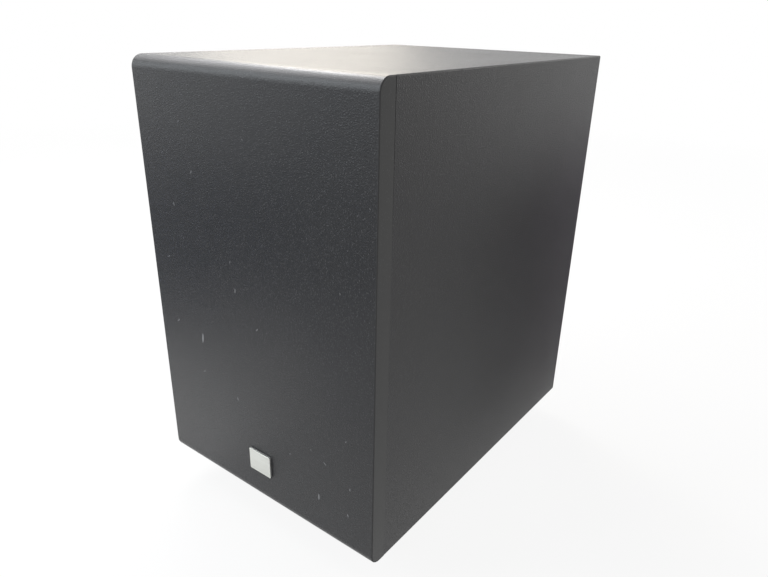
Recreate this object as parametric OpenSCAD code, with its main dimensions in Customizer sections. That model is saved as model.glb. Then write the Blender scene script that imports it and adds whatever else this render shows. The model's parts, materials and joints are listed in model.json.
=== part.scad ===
// Powered subwoofer: a vinyl-clad board cabinet on tall feet, with a woofer firing at the floor,
// a flared port and an amplifier plate at the rear.
// Millimetres. X runs to the right as seen from the front, Y to the rear and Z up.
// The origin lies on the floor, under the middle of the whole outline.

/* [Cabinet] */
// Width of the cabinet
cab_w = 254; // [236:1:320]
// Depth of the cabinet, with its front panel
cab_d = 354; // [330:1:420]
// Height of the cabinet, without its feet
cab_h = 381; // [345:1:460]
// Thickness of the side, top, bottom and rear boards
board_t = 15; // [13:0.5:18]
// How far the rear board lies in from the rear edges
rear_inset = 3; // [1:0.5:6]
// Side of the square battens in front of the rear board
batten_s = 12; // [8:1:14]
// Thickness of the acoustic wadding behind the front panel
wadding_t = 22; // [10:1:30]
// Height of the acoustic wadding
wadding_h = 220; // [120:1:240]

/* [Front panel] */
// Thickness of the front panel
front_t = 16; // [14:0.5:22]
// Radius of its rounded top and bottom edges
front_edge_r = 10.5; // [4:0.5:13]
// Radius of the dowels that hold it
dowel_r = 4; // [3:0.5:5]
// Length of the dowels
dowel_l = 24; // [16:1:30]
// How deep the dowels go into the front panel
dowel_front = 9; // [6:0.5:11]
// Dowels on each side
dowel_n = 3; // [2:1:5]
// Width of the badge
badge_w = 26; // [20:0.5:40]
// Height of the badge
badge_h = 21.5; // [16:0.5:34]
// Thickness of the badge
badge_t = 2; // [1:0.25:3]
// Height of the badge's middle above the bottom of the cabinet
badge_z = 43; // [32:1:80]
// Sideways place of the badge's middle
badge_x = 0; // [-40:1:40]
// Radius of the badge's two pins
badge_pin_r = 1; // [0.75:0.25:1.5]
// Length of the badge's two pins
badge_pin_l = 6; // [4:0.5:8]

/* [Feet] */
// Height of the feet, with their pads
foot_h = 32; // [28:1:45]
// Radius of a foot at the cabinet
foot_top_r = 19; // [16:0.5:22]
// Radius of a foot at its pad
foot_low_r = 15; // [13:0.5:18]
// Distance of a foot's axis from the side of the cabinet
foot_in_x = 40; // [30:1:48]
// Distance of a foot's axis from the front and the rear of the cabinet
foot_in_y = 50; // [34:1:60]
// Thickness of the rubber pad
foot_pad_t = 3; // [2:0.5:5]
// Thickness of the foot above its screw's head
foot_web = 8; // [5:0.5:12]

/* [Woofer] */
// Outer radius of the basket's flange
flange_r = 102.5; // [100:0.5:106]
// Thickness of the basket's sheet steel
basket_t = 1.5; // [1:0.1:2]
// Outer radius of the basket's skirt
skirt_r = 89; // [88:0.5:91]
// Depth of the rebate for the flange in the bottom board
rebate_d = 4; // [3:0.5:6]
// Radius of the circle of screws
woofer_screw_circle = 98; // [97.5:0.25:98.5]
// Number of screws
woofer_screw_n = 8; // [4:1:12]
// Thickness of the foam seal under the flange
woofer_seal_t = 1; // [0.5:0.25:2]
// Outer radius of the cone
cone_r = 76; // [72:0.5:77]
// Depth of the cone from its lip to its neck
cone_depth = 31.5; // [26:0.5:34]
// Thickness of the cone's paper
cone_t = 1.2; // [0.8:0.1:2]
// Radius of the surround's half roll
roll_r = 6.25; // [5:0.25:6.5]
// Thickness of the surround's rubber
surround_t = 0.9; // [0.6:0.1:1.2]
// Radius of the dust cap
cap_r = 30; // [24:0.5:38]
// Height of the dust cap
cap_h = 9; // [6:0.5:12]
// Radius of the pole piece
pole_r = 19; // [16:0.5:19.5]
// Thickness of the motor's front plate
gap_plate_t = 6; // [5:0.5:8]
// Outer radius of the magnet
magnet_r = 50; // [46:0.5:60]
// Thickness of the magnet
magnet_t = 17; // [15:0.5:24]
// Travel of the cone each way
cone_travel = 6; // [3:0.5:7]

/* [Port] */
// Inner radius of the port
port_r = 31; // [22:0.5:34]
// Wall of the port's tube
port_wall = 2.5; // [1.5:0.25:4]
// Length of the port behind its flange
port_l = 150; // [90:1:190]
// Radius of the flare at the port's mouth
flare_r = 10; // [5:0.5:12]
// Width of the flat rim round the flare
port_rim = 5; // [3:0.5:7]
// Thickness of the rim
port_rim_t = 3; // [2:0.25:4]
// Distance of the port's axis below the top of the cabinet
port_top = 70; // [63:1:90]

/* [Amplifier] */
// Width of the amplifier plate
plate_w = 180; // [172:1:196]
// Height of the amplifier plate
plate_h = 200; // [180:1:220]
// Thickness of the amplifier plate
plate_t = 2.5; // [1.5:0.25:4]
// How far the plate overlaps the rear board round its cut-out
plate_lap = 10; // [8:0.5:10]
// Thickness of the plate's foam seal
plate_seal_t = 1.5; // [0.5:0.25:3]
// Width of the circuit board
pcb_w = 144; // [140:1:146]
// Thickness of the circuit board
pcb_t = 1.6; // [1:0.2:2.4]
// Gap between the plate and the circuit board
pcb_gap = 12; // [11:0.5:16]
// Outer radius of the toroidal transformer
toroid_r = 35; // [28:0.5:35.5]
// Height of the toroidal transformer
toroid_h = 32; // [24:0.5:40]

/* [Controls] */
// Radius of the two knobs
knob_r = 11; // [9:0.5:14]
// Length of the two knobs
knob_l = 14; // [11:0.5:18]
// Gap between the knobs and the plate
knob_gap = 1; // [0.5:0.25:2]
// Radius of the control shafts
shaft_r = 3; // [2.5:0.25:3.25]
// Travel of the phase switch
lever_travel = 4; // [2:0.5:5]
// Tilt of the power switch each way, in degrees
rocker_tilt = 9; // [5:0.5:12]
// Radius of the power switch's rounded underside
rocker_r = 9; // [8:0.25:10]
// Width of the power switch's rocker
rocker_w = 10; // [8:0.5:12]

/* [Connectors] */
// Outer radius of the line jacks' shells
jack_r = 4.15; // [4:0.05:4.3]
// Radius of the line jacks' contact bore
jack_bore_r = 1.65; // [1.5:0.05:1.9]
// How far the line jacks stand out of the plate
jack_l = 9.5; // [7:0.5:12]
// Distance between the two line jacks
jack_pitch = 20; // [16:0.5:24]
// Distance between the mains inlet's two pins
inlet_pitch = 8.6; // [8.5:0.1:9]
// Radius of the mains inlet's pins
inlet_pin_r = 1.2; // [1:0.1:1.3]
// Depth of the mains inlet's socket
inlet_depth = 11; // [9:0.5:13]

/* [Fixings] */
// Radius of the wood screws' shank
wood_screw_r = 2; // [1.5:0.1:2.2]
// Radius of the wood screws' head
wood_head_r = 3.6; // [3:0.1:4]
// Height of the wood screws' head
wood_head_h = 2.2; // [1.5:0.1:3]
// Length of the wood screws
wood_screw_l = 12; // [8:0.5:12.5]
// Gap round a screw, dowel or pin in a hole that it fills
slip = 0.1; // [0.05:0.05:0.2]
// Gap round a screw in a hole that it passes through
pass_gap = 0.4; // [0.2:0.1:0.5]
// Gap round a shaft that turns in its bush
run_gap = 0.05; // [0.03:0.01:0.08]
// Gap round a piece that moves in a slot or a pocket
move_gap = 0.3; // [0.2:0.05:0.5]

/* [Hidden] */
$fn = 64;

// Colours
vinyl = [0.16, 0.16, 0.17];
board_core = [0.62, 0.48, 0.33];
black_metal = [0.09, 0.09, 0.1];
black_plastic = [0.07, 0.07, 0.075];
rubber = [0.05, 0.05, 0.05];
bright_metal = [0.75, 0.75, 0.76];
steel = [0.45, 0.45, 0.46];
copper = [0.72, 0.4, 0.22];
brass = [0.8, 0.65, 0.3];

// An overlap that carries a cut clean through a face
over = 1;

// Places of the cabinet: the front and rear edges and the boards' inner faces
plate_out = plate_seal_t + plate_t - rear_inset;
rear_reach = plate_out + knob_gap + knob_l;
overall_d = badge_t + cab_d + rear_reach;
front_y = badge_t - overall_d / 2;
back_y = front_y + cab_d;
shell_y = front_y + front_t;
shell_d = cab_d - front_t;
top_z = foot_h + cab_h;
inner_w = cab_w - 2 * board_t;
inner_h = cab_h - 2 * board_t;
rear_face_y = back_y - rear_inset;
rear_inner_y = rear_face_y - board_t;

// Height of the port's axis, and of the plate's middle between the bottom board and the port's rim
port_rim_r = port_r + flare_r + port_rim;
port_z = cab_h - port_top;
plate_z = (board_t + port_z - port_rim_r) / 2;

// Radius of the port's collar, which backs the flare in the rear board
port_collar_r = port_r + port_wall + flare_r - sqrt(pow(flare_r, 2) - pow(flare_r - port_rim_t, 2));

// Places of the woofer, in its own frame: its front is +Z and the flange's back is at 0
woofer_y = shell_y + shell_d / 2;
woofer_seat_z = foot_h + rebate_d - woofer_seal_t;
flange_gap = 1;
cutout_r = skirt_r + flange_gap;
rebate_r = flange_r + flange_gap;
skirt_h = 8;
lip_w = 5;
leg_run = 24.5;
ledge_w = 9.5;
hub_taper = 7;
spider_room = 8;
ledge_r_out = skirt_r - leg_run;
ledge_r_in = ledge_r_out - ledge_w;
ledge_z = basket_t - cone_depth - spider_room;
hub_r_out = ledge_r_in - hub_taper;
hub_z = ledge_z - spider_room - cone_travel;
motor_z = hub_z - basket_t;
window_n = 8;
window_half_angle = 14;
roll_mid_r = cone_r + roll_r;
outer_lip_w = 4.5;
surround_r_out = roll_mid_r + roll_r + outer_lip_w;
trim_t = 3;
pole_gap = 0.4;
coil_gap = 0.45;
hub_gap = 3.7;
former_t = 0.2;
glue_gap = 0.05;
former_r_in = pole_r + pole_gap;
neck_r = former_r_in + former_t + glue_gap;
neck_z = basket_t - cone_depth;
cone_curve = 0.85;
cone_steps = 8;
coil_t = 0.6;
coil_l = gap_plate_t + 2 * (cone_travel - 1);
coil_end = 1;
gap_bore_r = neck_r + coil_t + coil_gap;
hub_r_in = neck_r + coil_t + hub_gap;
magnet_bore_gap = 6;
magnet_edge = 4;
gap_plate_r = magnet_r - magnet_edge;
vent_r = 6;
cap_t = 0.8;
spider_t = 0.6;
spider_waves = 4;
spider_swing = 1.6;
terminal_t = 1.6;
terminal_w = 26;
terminal_l = 18;
terminal_gap = 1.5;
terminal_r = ledge_r_in + basket_t + terminal_gap;
tab_w = 4.8;
tab_t = 0.8;
tab_l = 16;
tab_x = 7;

// Behind the plate the circuit board fills the cut-out's height above the transformer
cutout_gap = 8;
toroid_gap = 4;
toroid_v = plate_lap + cutout_gap + toroid_r - plate_h / 2;
pcb_low_v = toroid_v + toroid_r + toroid_gap;
pcb_top_v = plate_h / 2 - plate_lap - cutout_gap;
pcb_h = pcb_top_v - pcb_low_v;
pcb_v = (pcb_top_v + pcb_low_v) / 2;

// Heights on the plate: controls under the board's upper edge, sockets over its lower edge, mains below
control_drop = 32;
led_rise = 22;
jack_rise = 16;
cap_rise = 28;
lead_rise = 12;
speaker_rise = 14;
mains_drop = 15;
control_v = pcb_top_v - control_drop;
mains_v = toroid_v - mains_drop;

// Places on the amplifier plate, seen from behind: to the right, then up from the plate's middle
level_at = [-42, control_v];
crossover_at = [4, control_v];
phase_at = [48, control_v];
led_at = [48, pcb_low_v + led_rise];
jacks_at = [-36, pcb_low_v + jack_rise];
rocker_at = [18, mains_v];
inlet_at = [54, mains_v];
toroid_at = [-38, toroid_v];
plate_corner_r = 6;
plate_face_y = back_y + plate_out;
plate_mid_z = foot_h + plate_z;
plate_screw_in = plate_lap / 2;
pcb_face = -plate_t - pcb_gap;
pcb_back = pcb_face - pcb_t;

// Sizes of the amplifier's small parts
post_r = 3;
post_in = 6;
machine_r = 1.4;
machine_head_r = 2.8;
machine_head_h = 2;
sink_w = 100;
sink_h = 24;
sink_base = 4;
sink_depth = 26;
sink_fin_t = 2;
sink_fin_n = 9;
sink_edge = 2;
sink_at = [-8, pcb_top_v - sink_edge - sink_h / 2];
chip = [10, 4.5, 15];
chip_u = [-30, 20];
big_cap_u = [-44, -18];
small_cap_u = [8, 22, 36];
toroid_bore_r = 12;
toroid_edge_r = 4;
dish_t = 2;
dish_r = toroid_r - toroid_edge_r - 8;
bolt_end = 2;
bolt_nut_r = 4.5;
bolt_nut_t = 4;
bolt_r = 2.5;
bolt_head_r = 4.5;
bolt_head_h = 3;
pot_s = 17;
bush_r = shaft_r + 1;
bush_out = 4;
nut_r = 6;
nut_h = 2.2;
knob_hollow_r = 7.8;
knob_hollow_l = 4.5;
knob_cover = 2;
knob_flutes = 24;
flute_r = 0.9;
lever_w = 3.4;
lever_h = 3.6;
lever_out = 3;
lever_in = 5;
switch_w = 20;
switch_h = 9;
led_r = 1.5;
led_out = 1;
jack_block_h = 16;
jack_collar_r = 5.6;
jack_collar_t = 1.5;
jack_root_r = jack_r + 0.5;
jack_wall = 0.6;
jack_short = 1.2;
inlet_slot_r = 4.6;
inlet_w = 23;
inlet_h = 15;
inlet_rim = 3;
inlet_rim_t = 2.5;
inlet_floor = 6;
inlet_tail = 6;
rocker_pivot = -2.5;
rocker_rim_t = 2;
rocker_rim = 2;
rocker_wall = 1.6;
rocker_case_l = 15;
rocker_tab_x = 3;
rocker_tab_v = 5;
trunnion_r = 1.5;
trunnion_l = 1.2;

// How far a control shaft reaches behind the plate's face
shaft_in = plate_t + pcb_gap / 2;

// Outer size of the power switch's case
rocker_case_w = rocker_w + 2 * move_gap + 2 * rocker_wall;
rocker_case_h = 2 * (rocker_r + move_gap);

// Where the mains pins and tabs end behind the plate's face
inlet_tail_z = inlet_rim_t - inlet_depth - inlet_floor - inlet_tail;
rocker_tail_z = -rocker_case_l - inlet_tail;

// Leads: radius, sides of the tube and steps between two points of a route
lead_r = 1.2;
tinsel_r = 0.7;
lead_sides = 8;
lead_steps = 3;

// Ends of leads in the plate's frame: a place at a depth, and a place on the transformer's back
function at_depth(at, depth) = [at[0], at[1], depth];
function on_toroid(r, angle) =
  [toroid_at[0] + r * cos(angle), toroid_at[1] + r * sin(angle), -plate_t - toroid_h];

// A board with its long edges mitred at 45 degrees, from its outer and inner half lengths
module mitred_board(outer_half, inner_half) {
  translate([0, back_y, 0]) rotate([90, 0, 0]) linear_extrude(shell_d)
    polygon([[-outer_half, 0], [outer_half, 0], [inner_half, board_t], [-inner_half, board_t]]);
}

// A plate with round corners, its lower face at 0
module rounded_plate(w, h, r, t) {
  linear_extrude(t) {
    square([w - 2 * r, h], center = true);
    square([w, h - 2 * r], center = true);
    for (x = [-1, 1], y = [-1, 1]) translate([x * (w / 2 - r), y * (h / 2 - r)]) circle(r);
  }
}

// A ring with its lower face at 0
module ring(r_out, r_in, t) {
  difference() {
    cylinder(r = r_out, h = t);
    translate([0, 0, -over]) cylinder(r = r_in, h = t + 2 * over);
  }
}

// A round-headed screw with a cross slot: the head stands on 0 and the shank goes down
module screw(head_r, head_h, shank_r, length) {
  slot_w = head_r / 3;
  slot_l = head_r * 1.1;
  slot_d = head_h / 2;
  tip = shank_r * 1.5;
  difference() {
    union() {
      cylinder(r = head_r, h = head_h);
      translate([0, 0, tip - length]) cylinder(r = shank_r, h = length - tip + over / 2);
      translate([0, 0, -length]) cylinder(r1 = shank_r / 3, r2 = shank_r, h = tip);
    }
    for (a = [0, 90]) rotate(a) translate([-slot_l / 2, -slot_w / 2, head_h - slot_d])
      cube([slot_l, slot_w, slot_d + over]);
  }
}

// Puts a piece in the woofer's frame, which faces the floor
module on_woofer() {
  translate([0, woofer_y, woofer_seat_z]) rotate([180, 0, 0]) children();
}

// Puts a copy at each place of the woofer's circle of screws
module at_woofer_screws() {
  for (i = [0:woofer_screw_n - 1])
    on_woofer() rotate((i + 0.5) * 360 / woofer_screw_n) translate([woofer_screw_circle, 0, 0]) children();
}

// Puts a piece on the amplifier plate: X to the right seen from behind, Y up, Z out of the plate
module on_plate(at = [0, 0]) {
  translate([-at[0], plate_face_y, plate_mid_z + at[1]]) rotate([90, 0, 180]) children();
}

// Puts a copy at each screw of the amplifier plate
module at_plate_screws() {
  u = plate_w / 2 - plate_screw_in;
  v = plate_h / 2 - plate_screw_in;
  for (x = [-u, u], y = [-v, -v / 3, v / 3, v]) on_plate([x, y]) children();
  for (y = [-v, v]) on_plate([0, y]) children();
}

// Puts a copy at each post of the circuit board
module at_posts() {
  for (x = [-1, 1], y = [-1, 1])
    on_plate([x * (pcb_w / 2 - post_in), pcb_v + y * (pcb_h / 2 - post_in)]) children();
}

// Puts a copy at the axis of each foot, on the floor
module at_feet() {
  for (x = [-1, 1], y = [front_y + foot_in_y, back_y - foot_in_y])
    translate([x * (cab_w / 2 - foot_in_x), y, 0]) children();
}

// Puts a copy at each dowel, at the joint of the front panel and its side board, along +Y
module at_dowels() {
  for (x = [-1, 1], i = [1:dowel_n])
    translate([x * (cab_w - board_t) / 2, shell_y, foot_h + cab_h * i / (dowel_n + 1)])
      rotate([-90, 0, 0]) children();
}

// A hole for a dowel, on both sides of the joint
module dowel_hole() {
  translate([0, 0, -dowel_front - slip])
    cylinder(r = dowel_r + slip, h = dowel_l + 2 * slip);
}

// Route of a lead: a smooth curve through points, with its ends along the first and last steps
function curve_point(a, b, c, d, t) =
  0.5 * (2 * b + (c - a) * t + (2 * a - 5 * b + 4 * c - d) * t * t + (3 * b - a - 3 * c + d) * t * t * t);
function end_point(p, i) =
  i < 0 ? 2 * p[0] - p[1] : i >= len(p) ? 2 * p[len(p) - 1] - p[len(p) - 2] : p[i];
function curve(p, steps) = concat(
  [for (i = [0:len(p) - 2], k = [0:steps - 1])
    curve_point(end_point(p, i - 1), p[i], p[i + 1], end_point(p, i + 2), k / steps)],
  [p[len(p) - 1]]);
function unit(v) = v / norm(v);
function tangent(c, p, i) =
  i == 0 ? unit(p[1] - p[0])
  : i == len(c) - 1 ? unit(p[len(p) - 1] - p[len(p) - 2])
  : unit(c[i + 1] - c[i - 1]);
function ring_points(centre, along, r, sides, up) =
  let (a = unit(cross(along, up)), b = cross(along, a))
  [for (k = [0:sides - 1]) centre + r * (cos(360 * k / sides) * a + sin(360 * k / sides) * b)];

// A tube along a route, closed at both ends; up is a direction that the route never takes
module lead(route, r, up) {
  c = curve(route, lead_steps);
  n = len(c);
  s = lead_sides;
  points = [for (i = [0:n - 1]) each ring_points(c[i], tangent(c, route, i), r, s, up)];
  sides = [for (i = [0:n - 2], k = [0:s - 1]) let (a = i * s + k, b = i * s + (k + 1) % s)
    each [[a, a + s, b], [b, a + s, b + s]]];
  caps = [for (k = [1:s - 2]) each [[0, k, k + 1], [(n - 1) * s, (n - 1) * s + k + 1, (n - 1) * s + k]]];
  polyhedron(points = points, faces = concat(sides, caps));
}

// The front panel's section: thickness across and height up, with its two front edges rounded
module front_profile() {
  r = front_edge_r;
  difference() {
    square([front_t, cab_h]);
    for (z = [0, cab_h - r]) difference() {
      translate([-over, z == 0 ? -over : z]) square([r + over, r + over]);
      translate([r, z == 0 ? r : z]) circle(r);
    }
  }
}

module front_panel() {
  color(vinyl) difference() {
    translate([-cab_w / 2, front_y, foot_h]) rotate([90, 0, 90]) linear_extrude(cab_w) front_profile();
    at_dowels() dowel_hole();
    at_badge_pins() translate([0, 0, -over]) cylinder(r = badge_pin_r + slip, h = badge_pin_l + slip + over);
  }
}

// Puts a copy at each pin of the badge, on the front panel's face, along +Y
module at_badge_pins() {
  for (x = [-1, 1]) translate([badge_x + x * badge_w / 3, front_y, foot_h + badge_z])
    rotate([-90, 0, 0]) children();
}

module badge() {
  color(bright_metal) union() {
    translate([badge_x, front_y, foot_h + badge_z]) rotate([90, 0, 0])
      rounded_plate(badge_w, badge_h, 0.8, badge_t);
    at_badge_pins() translate([0, 0, -badge_t / 2]) cylinder(r = badge_pin_r, h = badge_pin_l + badge_t / 2);
  }
}

module top_board() {
  color(vinyl) translate([0, 0, top_z]) mirror([0, 0, 1]) mitred_board(cab_w / 2, inner_w / 2);
}

module bottom_board() {
  color(vinyl) difference() {
    translate([0, 0, foot_h]) mitred_board(cab_w / 2, inner_w / 2);
    translate([0, woofer_y, foot_h - over]) cylinder(r = cutout_r, h = board_t + 2 * over);
    translate([0, woofer_y, foot_h - over]) cylinder(r = rebate_r, h = rebate_d + over);
    at_woofer_screws() translate([0, 0, basket_t - wood_screw_l - slip])
      cylinder(r = wood_screw_r + slip, h = wood_screw_l + over);
    at_feet() translate([0, 0, foot_h - over])
      cylinder(r = wood_screw_r + slip, h = wood_screw_l - foot_web + 2 * over);
  }
}

// A side board, lying against the right side of the cabinet
module side_board() {
  difference() {
    translate([cab_w / 2, 0, foot_h + cab_h / 2]) rotate([0, -90, 0]) mitred_board(cab_h / 2, inner_h / 2);
    at_dowels() dowel_hole();
  }
}

module left_board() {
  color(vinyl) mirror([1, 0, 0]) side_board();
}

module right_board() {
  color(vinyl) side_board();
}

module rear_board() {
  color(vinyl) difference() {
    translate([-inner_w / 2, rear_inner_y, foot_h + board_t]) cube([inner_w, board_t, inner_h]);
    translate([plate_lap - plate_w / 2, rear_inner_y - over, plate_mid_z - plate_h / 2 + plate_lap])
      cube([plate_w - 2 * plate_lap, board_t + 2 * over, plate_h - 2 * plate_lap]);
    translate([0, rear_inner_y - over, foot_h + port_z]) rotate([-90, 0, 0])
      cylinder(r = port_collar_r + slip, h = board_t + 2 * over);
    at_plate_screws() translate([0, 0, -wood_screw_l - slip])
      cylinder(r = wood_screw_r + slip, h = wood_screw_l + over);
  }
}

// Four battens round the inside, which the rear board is glued against
module rear_battens() {
  y = rear_inner_y - batten_s;
  end_gap = 0.5;
  short_l = inner_w - 2 * batten_s - 2 * end_gap;
  color(board_core) {
    for (x = [-inner_w / 2, inner_w / 2 - batten_s])
      translate([x, y, foot_h + board_t]) cube([batten_s, batten_s, inner_h]);
    for (z = [foot_h + board_t, top_z - board_t - batten_s])
      translate([-short_l / 2, y, z]) cube([short_l, batten_s, batten_s]);
  }
}

module front_dowels() {
  color(board_core) at_dowels() translate([0, 0, -dowel_front]) cylinder(r = dowel_r, h = dowel_l);
}

module acoustic_wadding() {
  side_gap = 8;
  top_gap = 10;
  color([0.82, 0.82, 0.8])
    translate([side_gap - inner_w / 2, shell_y, top_z - board_t - top_gap - wadding_h])
      cube([inner_w - 2 * side_gap, wadding_t, wadding_h]);
}

// A tapered foot with a deep hole for its screw
module feet() {
  hole_r = wood_head_r + 2;
  color(black_plastic) at_feet() difference() {
    translate([0, 0, foot_pad_t]) cylinder(r1 = foot_low_r, r2 = foot_top_r, h = foot_h - foot_pad_t);
    translate([0, 0, -over]) cylinder(r = hole_r, h = foot_h - foot_web + over);
    cylinder(r = wood_screw_r + pass_gap, h = foot_h + over);
  }
}

module foot_pads() {
  pad_edge = 1;
  color(rubber) at_feet() ring(foot_low_r - pad_edge, wood_head_r + 3, foot_pad_t);
}

module foot_screws() {
  color(steel) at_feet() translate([0, 0, foot_h - foot_web]) rotate([180, 0, 0])
    screw(wood_head_r, wood_head_h, wood_screw_r, wood_screw_l);
}

// The port: a flat rim on the rear board, a flared mouth and a straight tube
module port_tube() {
  color(black_plastic) translate([0, rear_face_y, foot_h + port_z]) rotate([-90, 0, 0]) rotate_extrude()
    difference() {
      union() {
        translate([port_r, -port_l]) square([port_wall, port_l + port_rim_t]);
        translate([port_r, -flare_r]) square([port_collar_r - port_r, flare_r + port_rim_t]);
        translate([port_r, 0]) square([port_rim_r - port_r, port_rim_t]);
      }
      difference() {
        translate([port_r - over, port_rim_t - flare_r]) square([flare_r + over, flare_r + over]);
        translate([port_r + flare_r, port_rim_t - flare_r]) circle(flare_r);
      }
    }
}

module woofer_seal() {
  color(rubber) difference() {
    on_woofer() translate([0, 0, -woofer_seal_t]) ring(flange_r - 0.5, cutout_r, woofer_seal_t);
    at_woofer_screws() translate([0, 0, -woofer_seal_t - over])
      cylinder(r = wood_screw_r + pass_gap, h = woofer_seal_t + 2 * over);
  }
}

// The basket: flange, skirt, eight legs, the spider's ledge and the hub that carries the motor
module woofer_basket() {
  t = basket_t;
  color(black_metal) difference() {
    on_woofer() difference() {
      rotate_extrude() polygon([
        [flange_r, 0], [flange_r, t], [skirt_r - t, t], [skirt_r - t, -skirt_h],
        [ledge_r_out, ledge_z], [ledge_r_in, ledge_z], [hub_r_out, hub_z], [hub_r_in, hub_z],
        [hub_r_in, hub_z - t], [hub_r_out + t, hub_z - t], [ledge_r_in + t, ledge_z - t],
        [ledge_r_out + t, ledge_z - t], [skirt_r, -skirt_h], [skirt_r, 0]
      ]);
      for (i = [0:window_n - 1]) rotate(i * 360 / window_n) basket_window();
    }
    at_woofer_screws() translate([0, 0, -over])
      cylinder(r = wood_screw_r + pass_gap, h = basket_t + 2 * over);
  }
}

// The wedge that cuts one window between two legs
module basket_window() {
  rib = 3;
  low = ledge_z + rib;
  reach = flange_r;
  half = reach * tan(window_half_angle);
  translate([0, 0, low]) linear_extrude(-skirt_h - rib - low)
    polygon([[0, 0], [reach, -half], [reach, half]]);
}

// Height of the cone's front at a radius
function cone_front(r) =
  neck_z + cone_depth * pow((r - neck_r) / (cone_r - lip_w - neck_r), cone_curve);

module woofer_cone() {
  rim = cone_r - lip_w;
  radii = [for (i = [0:cone_steps]) neck_r + (rim - neck_r) * i / cone_steps];
  back = [for (i = [cone_steps:-1:0]) [radii[i], cone_front(radii[i]) - cone_t]];
  front = [for (r = radii) [r, cone_front(r)]];
  color([0.1, 0.1, 0.11]) on_woofer() rotate_extrude()
    polygon(concat(front, [[cone_r, basket_t], [cone_r, basket_t - cone_t]], back));
}

// The domed cap over the cone's neck
module dust_cap() {
  dome_r = (cap_r * cap_r + cap_h * cap_h) / (2 * cap_h);
  base_z = cone_front(cap_r);
  color([0.08, 0.08, 0.09]) on_woofer() rotate_extrude() intersection() {
    translate([0, base_z + cap_h - dome_r]) difference() {
      circle(dome_r, $fn = 128);
      circle(dome_r - cap_t, $fn = 128);
    }
    translate([0, base_z]) square([cap_r + over, cap_h + over]);
  }
}

// The rubber half roll between the cone's lip and the flange
module surround() {
  color(rubber) on_woofer() rotate_extrude() union() {
    translate([roll_mid_r, basket_t]) difference() {
      circle(roll_r);
      circle(roll_r - surround_t);
      translate([-2 * roll_r, -2 * roll_r]) square([4 * roll_r, 2 * roll_r]);
    }
    translate([cone_r - lip_w, basket_t]) square([lip_w + surround_t, surround_t]);
    translate([roll_mid_r + roll_r - surround_t, basket_t])
      square([surround_r_out - roll_mid_r - roll_r + surround_t, surround_t]);
  }
}

module trim_ring() {
  color(rubber) on_woofer() translate([0, 0, basket_t + surround_t])
    ring(surround_r_out, roll_mid_r + roll_r + move_gap, trim_t);
}

// The corrugated spider, from the coil former to the basket's ledge
module spider() {
  r_in = neck_r + move_gap;
  r_out = ledge_r_out - 1.5;
  wave_in = r_in + 5;
  wave_out = ledge_r_in - 1;
  steps = spider_waves * 8;
  mid = ledge_z + spider_t;
  wave = [for (i = [0:steps]) [
    wave_in + (wave_out - wave_in) * i / steps, spider_swing * sin(360 * spider_waves * i / steps)]];
  top = concat([[r_in, 0]], wave, [[r_out, 0]]);
  count = len(top);
  color([0.75, 0.6, 0.3]) on_woofer() rotate_extrude() polygon(concat(
    [for (p = top) [p[0], mid + p[1]]],
    [for (i = [count - 1:-1:0]) [top[i][0], mid - spider_t + top[i][1]]]));
}

module coil_former() {
  stand = 2;
  low = motor_z - gap_plate_t / 2 - coil_l / 2 - coil_end;
  color([0.7, 0.6, 0.35]) on_woofer() translate([0, 0, low])
    ring(former_r_in + former_t, former_r_in, neck_z + stand - low);
}

module voice_coil() {
  color(copper) on_woofer() translate([0, 0, motor_z - gap_plate_t / 2 - coil_l / 2])
    ring(neck_r + coil_t, neck_r, coil_l);
}

module motor_front_plate() {
  color(steel) on_woofer() translate([0, 0, motor_z - gap_plate_t])
    ring(gap_plate_r, gap_bore_r, gap_plate_t);
}

module magnet() {
  bore = gap_bore_r + magnet_bore_gap;
  color([0.2, 0.2, 0.21]) on_woofer() translate([0, 0, motor_z - gap_plate_t - magnet_t])
    ring(magnet_r, bore, magnet_t);
}

// The back plate and the pole piece, with a vent through both
module yoke() {
  back_t = gap_plate_t;
  low = motor_z - gap_plate_t - magnet_t - back_t;
  color(steel) on_woofer() difference() {
    union() {
      translate([0, 0, low]) cylinder(r = gap_plate_r, h = back_t);
      translate([0, 0, low]) cylinder(r = pole_r, h = motor_z - low);
    }
    translate([0, 0, low - over]) cylinder(r = vent_r, h = motor_z - low + 2 * over);
  }
}

// Puts a piece on the rear side of the woofer: X outwards from its axis
module on_woofer_rear() {
  on_woofer() rotate(-90) children();
}

// The terminal board behind the spider's ledge, with its two tabs
module woofer_terminal() {
  top = ledge_z - basket_t;
  tab_from = terminal_r + terminal_l - tab_l / 2;
  color(brass) on_woofer_rear() {
    translate([terminal_r, -terminal_w / 2, top - terminal_t]) cube([terminal_l, terminal_w, terminal_t]);
    for (y = [-tab_x, tab_x]) translate([tab_from, y - tab_w / 2, top - terminal_t - tab_t])
      cube([tab_l, tab_w, tab_t]);
  }
}

// Flexible leads from the terminal board through a window to the back of the cone
module tinsel_leads() {
  start_r = terminal_r + terminal_l - 4;
  start_z = ledge_z - basket_t;
  end_r = cone_r - 18;
  end_z = cone_front(end_r) - cone_t - 2;
  color(copper) on_woofer_rear() for (y = [-tab_x, tab_x]) lead([
    [start_r, y, start_z], [start_r, y, start_z + 4], [start_r - 1, y, start_z + 10],
    [start_r - 5, y, start_z + 18], [end_r + 3, y, end_z - 4], [end_r, y, end_z]
  ], tinsel_r, [0, 1, 0]);
}

module woofer_screws() {
  color(black_metal) at_woofer_screws() translate([0, 0, basket_t])
    screw(wood_head_r, wood_head_h, wood_screw_r, wood_screw_l);
}

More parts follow.
